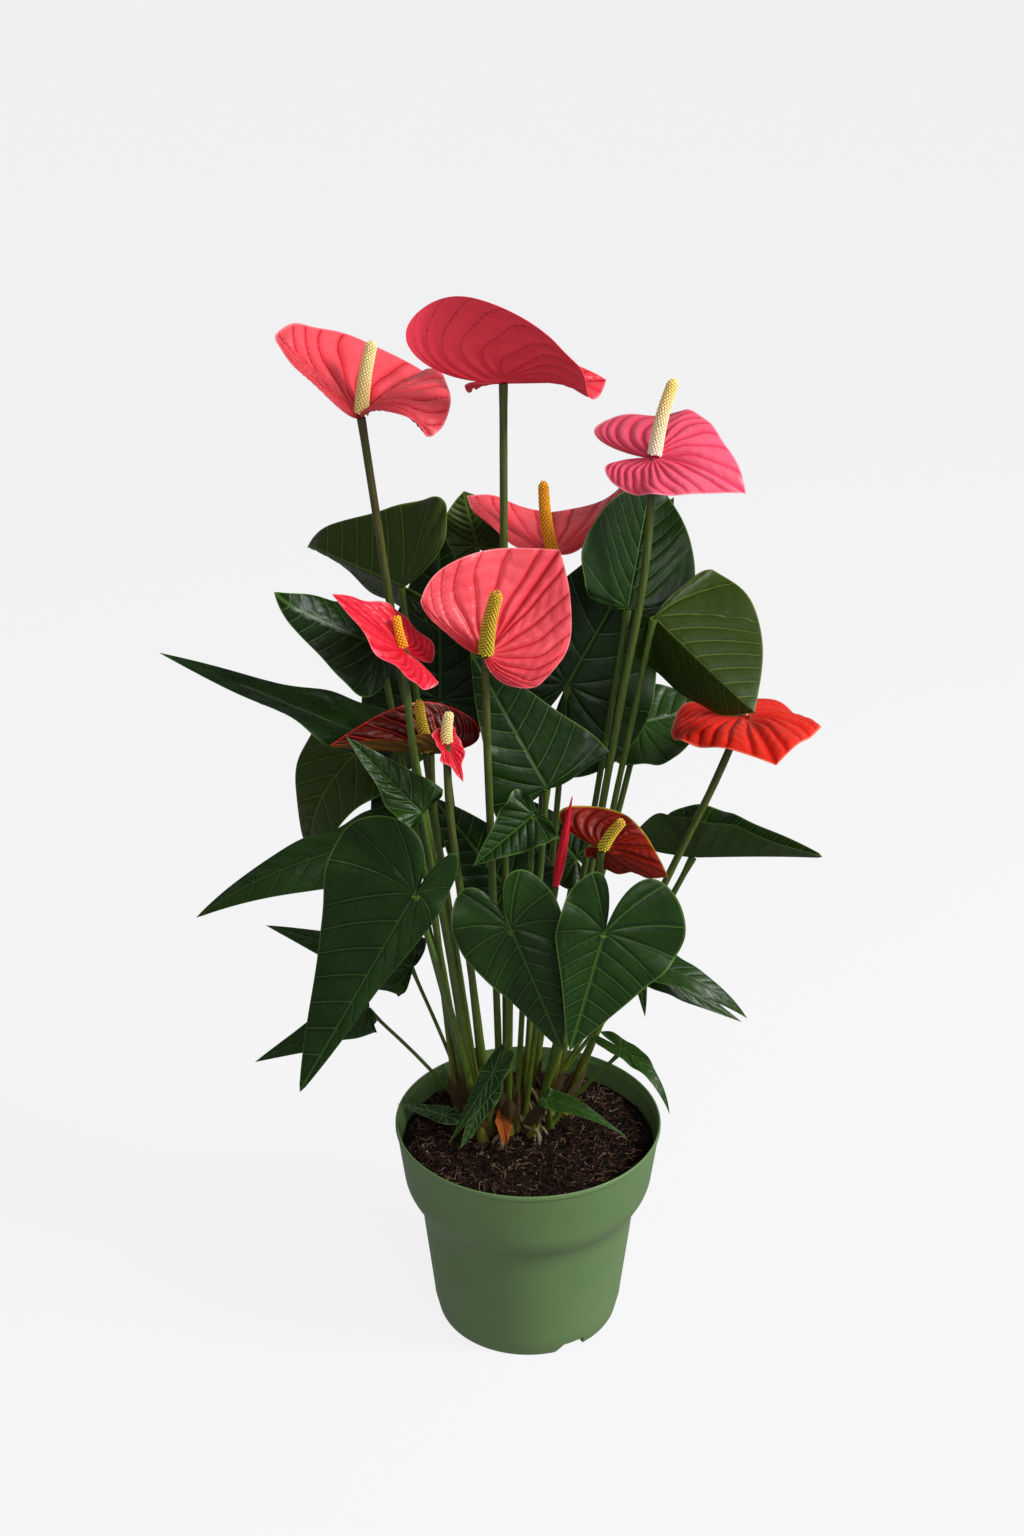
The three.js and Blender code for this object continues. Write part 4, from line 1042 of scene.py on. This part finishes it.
# %% Growing the spikes
SPIKE_LOOKS = {"flower_left_tall": "cream", "flower_mid_tall": "amber", "flower_right_tall": "pale",
               "flower_left_small": "amber", "flower_centre_large": "gold", "flower_back": "amber",
               "flower_front_low": "gold", "flower_left_dark": "gold"}
FLORET_PITCH, FLORET_RADIUS, SPIKE_GAP = 1.75, 0.92, 1.2
for flower in FLOWERS:
    base, end = np.array(flower["base"], float), np.array(flower["spadix"]["to"], float)
    length, radius = np.linalg.norm(end - base), flower["spadix"]["radius"]
    axis = (end - base) / length
    bow = np.cross(axis, (0, 1, 0)) * length * 0.03
    path = [base + axis * (SPIKE_GAP + (length - 2 * SPIKE_GAP) * share) + bow * math.sin(math.pi * share)
            for share in np.linspace(0, 1, 7)]
    floret_skin, gap_shade_skin = SPIKES[SPIKE_LOOKS.get(flower["name"], "cream")]
    count = int(2 * math.pi * radius * 0.9 * length / FLORET_PITCH ** 2)
    name = flower["name"] + "_spadix"
    spike = grown(path_object(name, path), spikes_grow, name, Radius=(radius - 0.3) * MM, Florets=count,
                  Floret_size=FLORET_RADIUS * MM, Floret_finish=floret_skin, Core_finish=gap_shade_skin)
    spike.name = name.replace("flower_", "spike_")
    place_piece(spike, "spadix", name)
print(len(FLOWERS), "spikes have grown")

# %% [markdown]
# ## The bud
# A young spathe is still rolled round its spike, like a sheet of paper rolled to a cone. Its section
# is a spiral: the radius grows a little over one turn, and the step back is the seam that shows.

# %% Growing the bud
def rolled_bud(bud, finish, rows=36, columns=48):
    """A closed spindle whose section is one turn of a spiral."""
    base, tip = np.array(bud["base"], float), np.array(bud["tip"], float)
    axis, length = unit(tip - base), np.linalg.norm(tip - base)
    side = unit(np.cross(axis, (0, 1, 0)))
    front = np.cross(axis, side)
    share = np.linspace(0, 1, rows)
    body = bud["radius"] * np.interp(share, (0, 0.06, 0.28, 0.7, 1), (0.45, 0.75, 1, 0.6, 0.06))
    body = np.convolve(np.pad(body, 3, mode="edge"), np.ones(7) / 7, "valid")
    turn = np.arange(columns) * 2 * math.pi / columns
    seam = 0.82 + 0.18 * turn / (2 * math.pi)
    winding = turn[None, :] + 1.1 * share[:, None] - 0.9
    reach = (body[:, None] * seam)[..., None]
    ring = base + (share * length)[:, None, None] * axis + reach * (
        np.cos(winding)[..., None] * side + np.sin(winding)[..., None] * front)
    points = np.concatenate([ring.reshape(-1, 3), [base - axis], [tip + axis * 1.5]])
    piece = closed_object("bud", points, ring_faces(rows, columns))
    mesh = piece.data
    shade_smooth(mesh)
    along = np.append(np.repeat(share, columns), (0, 1))
    turns = np.append(np.tile(np.arange(columns) / 8, rows), (0, 0))
    vein = np.stack([turns + 0.5, 3 + 0 * turns, 9 + 0 * turns], -1)
    set_fields(mesh, rho=along, edge=9 + 0 * along, under=0 * along, tint=0.1 + 0 * along,
               vein=vein, flat=points)
    mesh.materials.append(finish)
    return piece


bud_parts = [rolled_bud(BUD, SPATHE_FINISHES["red"]),
             stalk_piece("bud_stalk", bud_stem, Foot_swelling=0.7, Joint_swelling=0.1, Tone=0.5)]
place_piece(joined("bud_and_stalk", bud_parts), "spathe_red", "flower_bud")
print("the bud is", round(np.linalg.norm(np.subtract(BUD["tip"], BUD["base"]))), "mm long")

# %% [markdown]
# ## The crown
# At the foot of the clump, thick grey aerial roots reach down into the mix, and each stem's base is
# wrapped in a dry brown sheath. Roots are paths, so the stem tree grows them. Sheaths are narrow
# blades curled round the stems.

# %% Growing roots
ROOT_COUNT, ROOT_LANDING = 34, 131
ROOT_CENTRE = np.array([-9, 18, 0])
dice = np.random.default_rng(7)
roots = []
for _ in range(ROOT_COUNT):
    way = -math.pi / 2 + dice.uniform(-2.6, 2.6)
    out = np.array([math.cos(way), math.sin(way), 0])
    across = np.array([-out[1], out[0], 0])
    start = ROOT_CENTRE + out * dice.uniform(8, 20) + UP * dice.uniform(134, 158)
    landing = start * (1, 1, 0) + out * dice.uniform(5, 18) + across * dice.uniform(-10, 10)
    landing = landing + UP * ROOT_LANDING
    knees = [start + (landing - start) * share + across * dice.uniform(-4, 4) + UP * dice.uniform(-1, 3)
             for share in (0.35, 0.7)]
    under = landing + out * dice.uniform(3, 9) - UP * 8
    inputs = dict(Radius=dice.uniform(0.5, 1.4) * MM, Foot_swelling=0.3, Joint_swelling=-0.4,
                  Tone=dice.uniform(0, 1), Finish=root_finish)
    roots.append(grown(path_object("root", [start, *knees, landing, under]), stems_grow, "root", **inputs))
place_piece(joined("aerial_roots", roots), "roots", "rootstock")
print(len(roots), "roots")

# %% Dry sheath and dead leaf
def dry_finish(name, deep, pale, vein):
    """Dry papery leaf: streaked along its length, dull."""
    return blade_finish(name, deep, pale, vein, pale, deep, 0.72, 0.35, 0.5)


sheath_finish = dry_finish("dry_sheath", "#4a3a22", "#94804e", "#5a482c")
dead_finish = dry_finish("dead_leaf", "#8c4412", "#b06220", "#6c300c")
SHEATH_OUTLINE = dict(side=0.2, point=0.45, lobe=0.05, notch=0.4)
SHEATH_COLUMNS, SHEATH_RINGS = 40, 12
sheaths = []
low_stems = flower_stems + [stem for leaf, stem in zip(LEAVES, leaf_stems) if "stalk" not in leaf]
for i, stem in enumerate(low_stems):
    foot, second = stem["points"][0], stem["points"][1]
    rise = unit(second - foot)
    away = unit((foot - (CROWN["x"], CROWN["y"], foot[2])) * (1, 1, 0) + (0, -4, 0))
    base = foot + rise * 2 + away * stem["radius"] * 0.9
    length = dice.uniform(26, 46)
    tip = base + rise * length + away * dice.uniform(0, 3)
    row = dict(base=base, tip=tip, face=tuple(-away), left=(0.5, 1.1), right=(0.5, 1.1), arch=-0.02)
    look = dict(thick=0.5, depth=0.2, width=0.8, quilt=0.1, wave=0.8, seed=i, tint=dice.uniform(0, 0.5))
    sheaths.append(blade_object("sheath", row, SHEATH_OUTLINE, leaf_veins, sheath_finish, look,
                                SHEATH_COLUMNS, SHEATH_RINGS))
place_piece(joined("dry_sheaths", sheaths), "roots")
dead = dict(base=(-16, -8, 146), tip=(-14, -15, 130.5), face=(0.1, -0.8, 0.5),
            broad=(0.6, 0.6), left=(0.2, 0.4), right=(0.3, 0.3))
dead_look = dict(thick=0.5, depth=0.2, width=0.6, quilt=0.1, wave=0.6, tint=0.3)
dead_leaf = blade_object("dead_leaf", dead, SPATHE_OUTLINE, leaf_veins, dead_finish, dead_look, 64, 14)
place_piece(dead_leaf, "leaf")
print(len(sheaths), "sheaths")

# %% [markdown]
# ## The pot
# It is injection-moulded polypropylene: a turned wall 1.6 mm thick with a wide collar, a soft step
# under it, a thin rolled lip, a foot ring with air notches, and drain slots. The wall is a profile
# turned about the axis, and the openings are cut from it.

# %% Turned profile
RIM_RADIUS, POT_HEIGHT, WALL, BASE_RADIUS, LIP_WIDTH = 85, 143, 1.6, 59, 1.4
WALL_LOW, WALL_HIGH, WALL_STEP = 13, 139, 2.0
WALL_RISE = [(61.5, 13), (67.2, 64), (68.7, 78), (71.2, 87), (76.4, 95), (79.4, 102), (83, 130), (84.2, 139)]


def wall_profile(inset=0):
    """The wall's radius at even heights, with the collar's step softened."""
    radii, heights = zip(*WALL_RISE)
    z = np.arange(WALL_LOW, WALL_HIGH + 0.1, WALL_STEP)
    near = [np.clip(z + d, WALL_LOW, WALL_HIGH) for d in (-3, -1.5, 0, 1.5, 3)]
    r = sum(np.interp(heights_near, heights, radii) for heights_near in near) / len(near)
    return [(float(a) - inset, float(b)) for a, b in zip(r, z)]


def lip(high, outer, inner, count=7):
    """A rounded lip from the outer to the inner wall."""
    middle, half = (outer + inner) / 2, (outer - inner) / 2
    turn = np.linspace(0, math.pi, count)
    return [(float(middle + half * math.cos(a)), float(high - half + half * math.sin(a))) for a in turn]


def turned_object(name, profile, columns):
    """A closed turned body: the profile starts and ends on the axis."""
    turn = np.arange(columns) * 2 * math.pi / columns
    rings = [np.stack([r * np.cos(turn), r * np.sin(turn), z + 0 * turn], -1) for r, z in profile[1:-1]]
    ends = [[0, 0, profile[0][1]], [0, 0, profile[-1][1]]]
    return closed_object(name, np.concatenate([*rings, ends]), ring_faces(len(rings), columns))


foot_edge = [(57.6, 0), (58.5, 0.4), (BASE_RADIUS, 1.5)]
outside = foot_edge + wall_profile() + [(84.4, 139.6), (RIM_RADIUS, 140.4)]
inside = wall_profile(WALL)[::-1]
foot_ring = [(0, 0), (37.4, 0), (38.2, 0.5), (40, 4), (50.6, 4), (52.6, 0.6), (53.4, 0)]
rolled_lip = lip(POT_HEIGHT, RIM_RADIUS, RIM_RADIUS - LIP_WIDTH) + [(83.2, 140)]
floor_curve = [(58.4, 9.6), (57.2, 7.2), (54, 5.6), (0, 5.6)]
pot_profile = foot_ring + outside + rolled_lip + inside + floor_curve
pot = turned_object("pot_wall", pot_profile, 160)
print("the pot's wall has", len(pot.data.polygons), "faces")

# %% Cutting the slots and notches
SLOT_COUNT, SLOT_CORNERS = 6, [(42, -7), (50, -7), (50, 7), (42, 7)]
NOTCH_COUNT, NOTCH_START, NOTCH_INNER = 3, 0.5, 50
NOTCH_OUTLINE = [(-13, 0), (9, 0), (9, 7), (-6, 7)]


def turned(x, y, angle):
    """A place turned about the pot's axis."""
    c, s = math.cos(angle), math.sin(angle)
    return x * c - y * s, x * s + y * c


def prism(name, corners, low, high, place):
    """A prism over corners, from low to high. place tells where each of its points goes."""
    count = len(corners)
    points = [place(x, y, z) for z in (low, high) for x, y in corners]
    sides = [[i, (i + 1) % count, count + (i + 1) % count, count + i] for i in range(count)]
    return closed_object(name, points, sides + [list(range(count))[::-1], list(range(count, 2 * count))])


cutters = []
for i in range(SLOT_COUNT):
    angle = (i + 0.5) / SLOT_COUNT * 2 * math.pi
    cutters.append(prism("slot", SLOT_CORNERS, -2, 10, lambda x, y, z: (*turned(x, y, angle), z)))
for i in range(NOTCH_COUNT):
    angle = NOTCH_START + i / NOTCH_COUNT * 2 * math.pi
    cutters.append(prism("notch", NOTCH_OUTLINE, 0, 12, lambda x, rise, depth: (
        *turned(x, -NOTCH_INNER - depth, angle), rise - 1)))
for cutter in cutters:
    cut = pot.modifiers.new("cut", "BOOLEAN")
    cut.object, cut.operation, cut.solver = cutter, "DIFFERENCE", "EXACT"
pot_mesh = bpy.data.meshes.new_from_object(pot.evaluated_get(bpy.context.evaluated_depsgraph_get()))
pot.modifiers.clear()
pot.data = pot_mesh
for cutter in cutters:
    bpy.data.objects.remove(cutter)
shade_smooth(pot.data)
pot.data.set_sharp_from_angle(angle=math.radians(32))
print("after the cuts it has", len(pot.data.polygons), "faces")

# %% [markdown]
# ## Moulded polypropylene
# Mid-green plastic with a satin face. Polypropylene shrinks a little as it cools, so the wall is
# very slightly wavy, and the mould's polishing leaves fine marks round it. Handling adds a few faint
# scuffs.

# %% Pot material
def pot_finish():
    """Satin green polypropylene with faint mould marks and scuffs."""
    material, tree = new_material("moulded_polypropylene")
    place = add(tree, "ShaderNodeTexCoord").outputs["Object"]
    cloud = add(tree, "ShaderNodeTexNoise", {"Vector": place, "Scale": 14.0, "Detail": 3.0})
    share = add(tree, "ShaderNodeMapRange", {"Value": cloud.outputs["Fac"], 1: 0.3, 2: 0.7, 3: 0.0, 4: 1.0})
    base = add(tree, "ShaderNodeMix", {0: share, "A": linear("#5a7646"), "B": linear("#627e4c")},
               data_type="RGBA")
    rings = add(tree, "ShaderNodeMapping", {"Vector": place, "Scale": (8.0, 8.0, 1400.0)})
    mark = add(tree, "ShaderNodeTexNoise", {"Vector": rings, "Scale": 1.0, "Detail": 2.0})
    scuff = add(tree, "ShaderNodeTexNoise", {"Vector": place, "Scale": 320.0, "Detail": 6.0})
    worn = add(tree, "ShaderNodeMapRange", {"Value": scuff.outputs["Fac"], 1: 0.68, 2: 0.78,
                                            3: 0.0, 4: 0.12})
    colour = add(tree, "ShaderNodeMix", {0: worn, "A": base, "B": linear("#8a9f78")}, data_type="RGBA")
    rough = add(tree, "ShaderNodeMapRange", {"Value": mark.outputs["Fac"], 1: 0.3, 2: 0.7, 3: 0.42, 4: 0.54})
    soft = add(tree, "ShaderNodeTexNoise", {"Vector": place, "Scale": 35.0, "Detail": 1.0})
    height = add(tree, "ShaderNodeMath", {0: mark.outputs["Fac"], 1: 0.12, 2: soft.outputs["Fac"]},
                 operation="MULTIPLY_ADD")
    textured_surface(tree, colour, rough, height, 0.25, 0.5, {"IOR": 1.49})
    return material


pot.data.materials.clear()
pot.data.materials.append(pot_finish())
place_piece(pot, "pot_plastic", "pot")
print("the pot is placed")

# %% [markdown]
# ## The potting mix
# Peat and coir: dark crumbs from dust up to 4 mm, tan fibres, and a few pale bits. The body is a
# turned solid with an uneven top that rises round the crown. Geometry Nodes scatter the crumbs and
# the fibres over it.

# %% Mix material
def mix_finish(name, stops, rough):
    """Crumbs whose colour comes from the shade that each one carries."""
    material, tree = new_material(name)
    shade = add(tree, "ShaderNodeAttribute", attribute_name="shade").outputs["Fac"]
    place = add(tree, "ShaderNodeTexCoord").outputs["Object"]
    grain = add(tree, "ShaderNodeTexNoise", {"Vector": place, "Scale": 700.0, "Detail": 5.0})
    jitter = add(tree, "ShaderNodeMath", {0: grain.outputs["Fac"], 1: 0.3, 2: -0.15},
                 operation="MULTIPLY_ADD")
    value = add(tree, "ShaderNodeMath", {0: shade, 1: jitter}, operation="ADD", use_clamp=True)
    ramp = add(tree, "ShaderNodeValToRGB", {0: value})
    while len(ramp.color_ramp.elements) < len(stops):
        ramp.color_ramp.elements.new(0.5)
    for element, (position, code) in zip(ramp.color_ramp.elements, stops):
        element.position, element.color = position, linear(code)
    textured_surface(tree, ramp.outputs[0], rough, grain.outputs["Fac"], 0.8, 0.8,
                     {"Specular IOR Level": 0.15})
    return material


peat_finish = mix_finish("peat_and_coir", [(0.0, "#060303"), (0.45, "#0e0706"), (0.75, "#1c100c"),
                                           (0.94, "#33201a"), (0.99, "#746452")], 0.9)
fibre_finish = mix_finish("coir_fibre", [(0.0, "#120806"), (0.5, "#2c1810"), (0.85, "#4c3020"),
                                         (1.0, "#8c765a")], 0.8)
print("mix materials are ready")

# %% Mix body
MIX_TOP, MIX_RADIUS, MIX_RING = 129, 80.2, 1.6
MOUND_HEIGHT, MOUND_TOP = 3.0, 18
EDGE_DROP, EDGE_START, EDGE_WIDTH = 2.5, 66, 15
LUMP_HEIGHT, LUMP_WIDTH = 1.8, 14
BODY_SHADE = 0.35


def mix_height(x, y):
    """Height of the mix's top at a place, in millimetres."""
    crown = math.hypot(x - CROWN["x"], y - CROWN["y"])
    mound = MOUND_HEIGHT * float(smooth_step(CROWN["radius"], MOUND_TOP, crown))
    edge = EDGE_DROP * max(0, (math.hypot(x, y) - EDGE_START) / EDGE_WIDTH)
    lumps = LUMP_HEIGHT * noise.fractal(Vector((x / LUMP_WIDTH, y / LUMP_WIDTH, 3)), 0.8, 2.1, 4)
    return MIX_TOP + mound + lumps - edge


top_rings = [(r, MIX_TOP) for r in np.arange(MIX_RADIUS, 1.0, -MIX_RING)]
bottom = [(0, 6.2), (51, 6.2), (56, 11)] + [(r - 0.5, z) for r, z in wall_profile(WALL) if 14 < z < 124]
mix = turned_object("mix_body", bottom + top_rings + [(0, MIX_TOP)], 200)
for v in mix.data.vertices:
    if v.co.z > (MIX_TOP - 3) * MM:
        v.co.z = mix_height(v.co.x / MM, v.co.y / MM) * MM
set_fields(mix.data, shade=np.full(len(mix.data.vertices), BODY_SHADE))
mix.data.materials.append(peat_finish)
print("the mix reaches", round(max(v.co.z for v in mix.data.vertices) / MM, 1), "mm")

# %% Where the mix lies open
OPEN_FROM, CRUMB_REACH, FIBRE_REACH = 120, 78, 75


def open_top(tree, reach):
    """Nodes that pick the faces which look up, lie near the top and stay within reach of the axis."""
    normal = add(tree, "ShaderNodeSeparateXYZ", {0: add(tree, "GeometryNodeInputNormal")})
    place = add(tree, "GeometryNodeInputPosition")
    height = add(tree, "ShaderNodeSeparateXYZ", {0: place})
    level = add(tree, "ShaderNodeVectorMath", {0: place, 1: (1.0, 1.0, 0.0)}, operation="MULTIPLY")
    out = add(tree, "ShaderNodeVectorMath", {0: level}, operation="LENGTH")
    upward = add(tree, "FunctionNodeCompare", {0: normal.outputs[2], 1: 0.3}, operation="GREATER_THAN")
    on_top = add(tree, "FunctionNodeCompare", {0: height.outputs[2], 1: OPEN_FROM * MM},
                 operation="GREATER_THAN")
    inside = add(tree, "FunctionNodeCompare", {0: out, 1: reach}, operation="LESS_THAN")
    both = add(tree, "FunctionNodeBooleanMath", {0: upward, 1: on_top}, operation="AND")
    return add(tree, "FunctionNodeBooleanMath", {0: both, 1: inside}, operation="AND")


print("crumbs stay clear of the wall")

# %% Crumb tree
def crumb_tree():
    """Scatters crumbs over the top of a body and keeps the body."""
    tree, given = new_tree("crumbs", [
        ("Crumbs per square metre", "NodeSocketFloat", 300000.0), ("Smallest", "NodeSocketFloat", 0.6 * MM),
        ("Largest", "NodeSocketFloat", 2.0 * MM), ("Seed", "NodeSocketInt", 3),
        ("Finish", "NodeSocketMaterial", None)])
    top = open_top(tree, CRUMB_REACH * MM)
    points = add(tree, "GeometryNodeDistributePointsOnFaces", {
        "Mesh": given.outputs["Geometry"], "Selection": top,
        "Density": given.outputs["Crumbs per square metre"], "Seed": given.outputs["Seed"]})
    chance = add(tree, "FunctionNodeRandomValue", {"Seed": 11}, data_type="FLOAT")
    seeds = add(tree, "GeometryNodeStoreNamedAttribute", {"Geometry": points, "Name": "shade",
                "Value": chance.outputs[1]}, data_type="FLOAT", domain="POINT")
    luck = add(tree, "FunctionNodeRandomValue", {"Seed": 12}, data_type="FLOAT")
    small = add(tree, "ShaderNodeMath", {0: luck.outputs[1], 1: 3.0}, operation="POWER")
    size = add(tree, "ShaderNodeMapRange", {"Value": small, 3: given.outputs["Smallest"],
                                            4: given.outputs["Largest"]})
    stretch = add(tree, "FunctionNodeRandomValue", {0: (0.6, 0.6, 0.45), 1: (1.5, 1.0, 0.9), "Seed": 13},
                  data_type="FLOAT_VECTOR")
    scale = add(tree, "ShaderNodeVectorMath", {0: stretch.outputs[0], "Scale": size}, operation="SCALE")
    spin = add(tree, "FunctionNodeRandomValue", {0: (0.0, 0.0, 0.0), 1: (6.28, 6.28, 6.28), "Seed": 14},
               data_type="FLOAT_VECTOR")
    crumb = add(tree, "GeometryNodeMeshIcoSphere", {"Radius": 1.0, "Subdivisions": 1})
    crumbs = add(tree, "GeometryNodeInstanceOnPoints", {"Points": seeds, "Instance": crumb,
                                                        "Rotation": spin.outputs[0], "Scale": scale})
    crumbs = add(tree, "GeometryNodeRealizeInstances", {0: crumbs})
    rough = add(tree, "ShaderNodeTexNoise", {"Scale": 900.0, "Detail": 2.0})
    push = add(tree, "ShaderNodeVectorMath", {0: rough.outputs["Color"], 1: (0.5, 0.5, 0.5)},
               operation="SUBTRACT")
    push = add(tree, "ShaderNodeVectorMath", {0: push, "Scale": 1.6 * MM}, operation="SCALE")
    crumbs = add(tree, "GeometryNodeSetPosition", {"Geometry": crumbs, "Offset": push})
    both = add(tree, "GeometryNodeJoinGeometry")
    tree.links.new(given.outputs["Geometry"], both.inputs[0])
    tree.links.new(crumbs.outputs[0], both.inputs[0])
    finish_tree(tree, both, given.outputs["Finish"])
    return tree


crumb_grow = crumb_tree()
print("the crumb tree has", len(crumb_grow.nodes), "nodes")

# %% Fibre tree
def fibre_tree():
    """Scatters bent fibres over the top of a body, without the body."""
    tree, given = new_tree("fibres", [
        ("Fibres per square metre", "NodeSocketFloat", 190000.0), ("Shortest", "NodeSocketFloat", 3 * MM),
        ("Longest", "NodeSocketFloat", 10 * MM), ("Thickness", "NodeSocketFloat", 0.2 * MM),
        ("Seed", "NodeSocketInt", 5), ("Finish", "NodeSocketMaterial", None)])
    top = open_top(tree, FIBRE_REACH * MM)
    points = add(tree, "GeometryNodeDistributePointsOnFaces", {
        "Mesh": given.outputs["Geometry"], "Selection": top,
        "Density": given.outputs["Fibres per square metre"], "Seed": given.outputs["Seed"]})
    lifted = add(tree, "GeometryNodeSetPosition", {"Geometry": points, "Offset": (0.0, 0.0, 0.9 * MM)})
    chance = add(tree, "FunctionNodeRandomValue", {"Seed": 21}, data_type="FLOAT")
    seeds = add(tree, "GeometryNodeStoreNamedAttribute", {"Geometry": lifted, "Name": "shade",
                "Value": chance.outputs[1]}, data_type="FLOAT", domain="POINT")
    length = add(tree, "FunctionNodeRandomValue", {2: given.outputs["Shortest"], 3: given.outputs["Longest"],
                                                   "Seed": 22}, data_type="FLOAT")
    spin = add(tree, "FunctionNodeRandomValue", {0: (-0.35, -0.35, 0.0), 1: (0.35, 0.35, 6.28), "Seed": 23},
               data_type="FLOAT_VECTOR")
    bend = add(tree, "GeometryNodeCurveQuadraticBezier", {
        "Resolution": 5, "Start": (-0.5, 0.0, 0.0), "Middle": (0.0, 0.5, 0.12), "End": (0.5, 0.0, 0.0)})
    lines = add(tree, "GeometryNodeInstanceOnPoints", {
        "Points": seeds, "Instance": bend, "Rotation": spin.outputs[0], "Scale": length.outputs[1]})
    lines = add(tree, "GeometryNodeRealizeInstances", {0: lines})
    rough = add(tree, "ShaderNodeTexNoise", {"Scale": 160.0, "Detail": 1.0})
    push = add(tree, "ShaderNodeVectorMath", {0: rough.outputs["Color"], 1: (0.5, 0.5, 0.5)},
               operation="SUBTRACT")
    push = add(tree, "ShaderNodeVectorMath", {0: push, "Scale": 6 * MM}, operation="SCALE")
    lines = add(tree, "GeometryNodeSetPosition", {"Geometry": lines, "Offset": push})
    ring = add(tree, "GeometryNodeCurvePrimitiveCircle", {"Resolution": 4, "Radius": 1.0}, mode="RADIUS")
    tube = add(tree, "GeometryNodeCurveToMesh", {"Curve": lines, "Profile Curve": ring,
                                                 "Scale": given.outputs["Thickness"], "Fill Caps": True})
    finish_tree(tree, tube, given.outputs["Finish"])
    return tree


fibre_grow = fibre_tree()
print("the fibre tree has", len(fibre_grow.nodes), "nodes")

# %% Scattering the mix
ground = new_object("ground", mix.data.copy())
fibres = grown(ground, fibre_grow, "coir_fibres", Finish=fibre_finish)
soil = grown(mix, crumb_grow, "peat_crumbs", Finish=peat_finish)
place_piece(soil, "potting_mix", "potting_mix")
place_piece(fibres, "potting_mix")
print(len(soil.data.polygons), "faces of crumbs and", len(fibres.data.polygons), "of fibres")

# %% [markdown]
# ## Floor and light
# A wide pale floor under soft studio light: a softbox above at the right, a weaker one in front, and
# a white surrounding that fills the shadows. The floor glows a little. It glows more for the camera
# than for the plant, so that it looks nearly white without lighting the leaves from below.

# %% Floor
FLOOR_EDGE, GLOW_ON_PLANT, GLOW_SEEN = 60, 0.3, 0.92
floor_material, floor_tree = new_material("pale_studio_paper")
floor_place = add(floor_tree, "ShaderNodeTexCoord").outputs["Object"]
floor_noise = add(floor_tree, "ShaderNodeTexNoise", {"Vector": floor_place, "Scale": 3.0})
floor_shade = add(floor_tree, "ShaderNodeMix", {0: floor_noise.outputs["Fac"], "A": linear("#4b4b4d"),
                                                "B": linear("#4d4d4f")}, data_type="RGBA")
seen = add(floor_tree, "ShaderNodeLightPath").outputs["Is Camera Ray"]
glow = add(floor_tree, "ShaderNodeMath", {0: seen, 1: GLOW_SEEN - GLOW_ON_PLANT, 2: GLOW_ON_PLANT},
           operation="MULTIPLY_ADD")
surface_output(floor_tree, add(floor_tree, "ShaderNodeBsdfPrincipled", {
    "Base Color": floor_shade, "Roughness": 0.95, "Specular IOR Level": 0.0,
    "Emission Color": linear("#f6f6f7"), "Emission Strength": glow}))
floor_mesh = bpy.data.meshes.new("floor")
corners = [(x * FLOOR_EDGE, y * FLOOR_EDGE, 0) for x, y in ((-1, -1), (1, -1), (1, 1), (-1, 1))]
floor_mesh.from_pydata(corners, [], [(0, 1, 2, 3)])
floor_mesh.materials.append(floor_material)
floor = new_object("floor", floor_mesh)
print("the floor is", 2 * FLOOR_EDGE, "m wide")

# %% Lights
AIM = Vector((0, 0, 0.35))
SURROUNDING = 0.3


def softbox(name, place, size, power):
    """A square light that looks at the middle of the plant."""
    data = bpy.data.lights.new(name, "AREA")
    data.size, data.energy = size, power
    lamp = new_object(name, data)
    lamp.location = place
    lamp.rotation_euler = (AIM - Vector(place)).to_track_quat("-Z", "Y").to_euler()


softbox("key", (2.0, -0.7, 1.7), size=0.8, power=74)
softbox("front", (0.5, -2.2, 1.9), size=1.2, power=20)
world = bpy.data.worlds.new("studio")
world.use_nodes = True
world.node_tree.nodes.clear()
sky = add(world.node_tree, "ShaderNodeBackground", {"Color": linear("#ffffff"), "Strength": SURROUNDING})
add(world.node_tree, "ShaderNodeOutputWorld", {"Surface": sky})
bpy.context.scene.world = world
print("two softboxes and a white surrounding")
